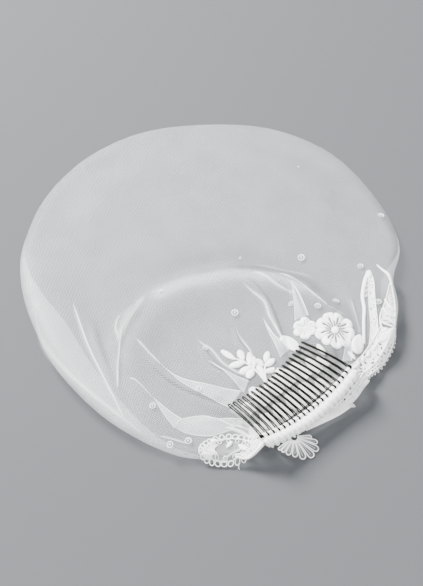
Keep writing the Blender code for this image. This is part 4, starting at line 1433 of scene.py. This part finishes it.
def make_comb():
    """Hairpin teeth whose legs hook round the spine, and the wire coiled on it at each of them."""
    teeth, spine = Piece(), Piece()
    hook = np.linspace(0.2, HOOK_TURN, 14)
    for root in tooth_roots():
        legs = (root - LEG_APART, root + LEG_APART)
        first, last = (around_spine(leg, hook, SPINE_RADIUS - 0.2) for leg in legs)
        teeth.tube(np.vstack([first[::-1], tooth_points(root), last]), TOOTH_WIRE, sides=10)
        spine.tube(coil(root, COIL_HALF, COIL_TURNS, SPINE_RADIUS - 0.1), COIL_WIRE, sides=8)
    for turn in (0.0, math.pi):
        bar = around_spine(np.linspace(-SPINE_HALF, SPINE_HALF, 80), turn, SPINE_BAR_OFF)
        spine.tube(bar, SPINE_BAR, sides=10)
    names = [f"comb_tooth_{k + 1:02d}" for k in range(TOOTH_COUNT)]
    teeth.make("comb_teeth_wire", [WIRE], names, "comb_wire")
    spine.make("comb_spine_wire", [WIRE], ["comb_spine"], "comb_wire")


def make_wraps():
    """Sewing thread wound round the spine between the teeth, and stitches over the binding."""
    piece = Piece()
    share = shares(12)
    for root in tooth_roots()[:-1]:
        middle = root + TOOTH_PITCH * 0.5
        piece.tube(coil(middle, WRAP_HALF, WRAP_TURNS, SPINE_RADIUS + 0.1), WRAP_THREAD)
        for start, end, slant in STITCHES:
            turn = math.pi * (start + (end - start) * share)
            piece.tube(on_binding(middle + slant * (share - 0.5), turn, out=0.05), STITCH_THREAD)
    piece.make("thread_wraps", [CORD])


# Sequins

# Section of a sequin: share of its radius, rise in shares of its radius, and cover
SEQUIN_SECTION = (
    (0.14, 0, 0.9), (0.3, 0.02, 0.1), (0.5, 0.08, 0.05), (0.68, 0.15, 0.1),
    (0.76, 0.24, 1), (0.88, 0.36, 1), (1, 0.32, 1), (0.96, 0.22, 1),
)
SEQUIN_LIFT, BEAD_LIFT = 0.75, 0.7
SEQUIN_FLUTES, SEQUIN_FLUTE = 8, 0.03
BEAD_SHARE, BEAD_LARGEST = 0.32, 2.0
SLOPE_STEP = 0.6


def make_sequins():
    """Cup sequins that lie along the net's slope, each held by a seed bead in its middle."""
    cups, beads = Piece(), Piece()
    angle = 2 * math.pi * np.arange(33) / 32
    flute = 1.0 + SEQUIN_FLUTE * np.cos(SEQUIN_FLUTES * angle)
    share, rise, cover = np.array(SEQUIN_SECTION).T[..., None]
    t = np.linspace(0.02, 0.98, 9)[:, None]
    place_x, place_y, sizes = np.array(SEQUINS, float).T
    levels = surface(place_x, place_y)
    slopes_x = surface(place_x + SLOPE_STEP, place_y) - surface(place_x - SLOPE_STEP, place_y)
    slopes_y = surface(place_x, place_y + SLOPE_STEP) - surface(place_x, place_y - SLOPE_STEP)
    for x, y, radius, level, slope_x, slope_y in zip(place_x, place_y, sizes, levels, slopes_x, slopes_y):
        u, v = radius * share * flute * np.cos(angle), radius * share * flute * np.sin(angle)
        z = level + SEQUIN_LIFT + radius * rise + (slope_x * u + slope_y * v) / (2 * SLOPE_STEP)
        cups.grid(np.stack([x + u, y + v, z], axis=2)[:, :-1], paired(u, v) * 2.0, closed=True, cover=cover)
        size = BEAD_SHARE * min(radius, BEAD_LARGEST)
        ring = size * (0.25 + 0.75 * np.sin(math.pi * t))
        z = level + BEAD_LIFT + size * (1.1 - np.cos(math.pi * t))
        ball = np.broadcast_arrays(x + ring * np.cos(angle), y + ring * np.sin(angle), z)
        beads.grid(np.stack(ball, axis=2)[:, :-1], paired(angle, t), closed=True)
    cups.make("sequins", [SEQUIN])
    beads.make("seed_beads", [BEAD])


# Stage

FLOOR_HALF = 3.0
FLOOR_COLOUR = (0.072, 0.075, 0.080)
SKY_COLOUR = (0.86, 0.89, 0.95, 1.0)
SKY_STRENGTH = 0.5
VIEW_ELEVATION = math.radians(53.0)
VIEW_DISTANCE = 0.90
VIEW_LENS = 55.85
SENSOR_HIGH = 24.0

# Soft lights: name, place, size and power
LIGHTS = (
    ("key", (-1.0, 1.05, 1.25), 0.7, 245.0),
    ("fill", (1.1, -0.4, 1.1), 1.4, 22.0),
    ("front", (-0.6, -1.3, 1.2), 1.4, 60.0),
)


def make_stage():
    """The floor, the soft lights and a dim even sky."""
    mesh = bpy.data.meshes.new("floor")
    corners = ((-1, -1), (1, -1), (1, 1), (-1, 1))
    mesh.from_pydata([(x * FLOOR_HALF, y * FLOOR_HALF, 0.0) for x, y in corners], [], [(0, 1, 2, 3)])
    mesh.materials.append(floor_material("paper", FLOOR_COLOUR))
    floor = new_object("floor", mesh)
    for name, place, size, power in LIGHTS:
        data = bpy.data.lights.new(name, "AREA")
        data.size = size
        data.energy = power
        lamp = new_object(name, data)
        lamp.location = place
        lamp.rotation_euler = (-Vector(place)).to_track_quat("-Z", "Y").to_euler()
    world = bpy.data.worlds.new("studio")
    world.use_nodes = True
    sky = world.node_tree.nodes["Background"]
    sky.inputs["Color"].default_value = SKY_COLOUR
    sky.inputs["Strength"].default_value = SKY_STRENGTH
    bpy.context.scene.world = world


def make_camera():
    """The photo's view, aimed at the middle of the veil's own plan."""
    back = Vector((0.0, -math.cos(VIEW_ELEVATION), math.sin(VIEW_ELEVATION)))
    data = bpy.data.cameras.new("camera")
    data.sensor_fit = "VERTICAL"
    data.sensor_height = SENSOR_HIGH
    data.lens = VIEW_LENS
    camera = new_object("camera", data)
    camera.location = Vector(to_world((0.0, 0.0, 0.0))) + back * VIEW_DISTANCE
    camera.rotation_euler = back.to_track_quat("Z", "Y").to_euler()
    bpy.context.scene.camera = camera


make_camera()
make_stage()
net = make_net()
flaps = make_flaps()
creases = make_creases()
make_flower_large()
make_flower_small()
make_bud("lace_bud_left", BUD_LEFT)
make_bud("lace_bud_right", BUD_RIGHT)
make_sprig("lace_sprig_left", SPRIG_LEFT, STEM_LEFT)
make_sprig("lace_sprig_right", SPRIG_RIGHT + SMALL_LEAVES, STEM_RIGHT)
make_panel()
make_leaf_inner()
make_leaf_outer()
make_side()
make_medallion()
make_fan()
make_edging()
make_ribbon_end()
make_binding()
make_comb()
make_wraps()
make_sequins()
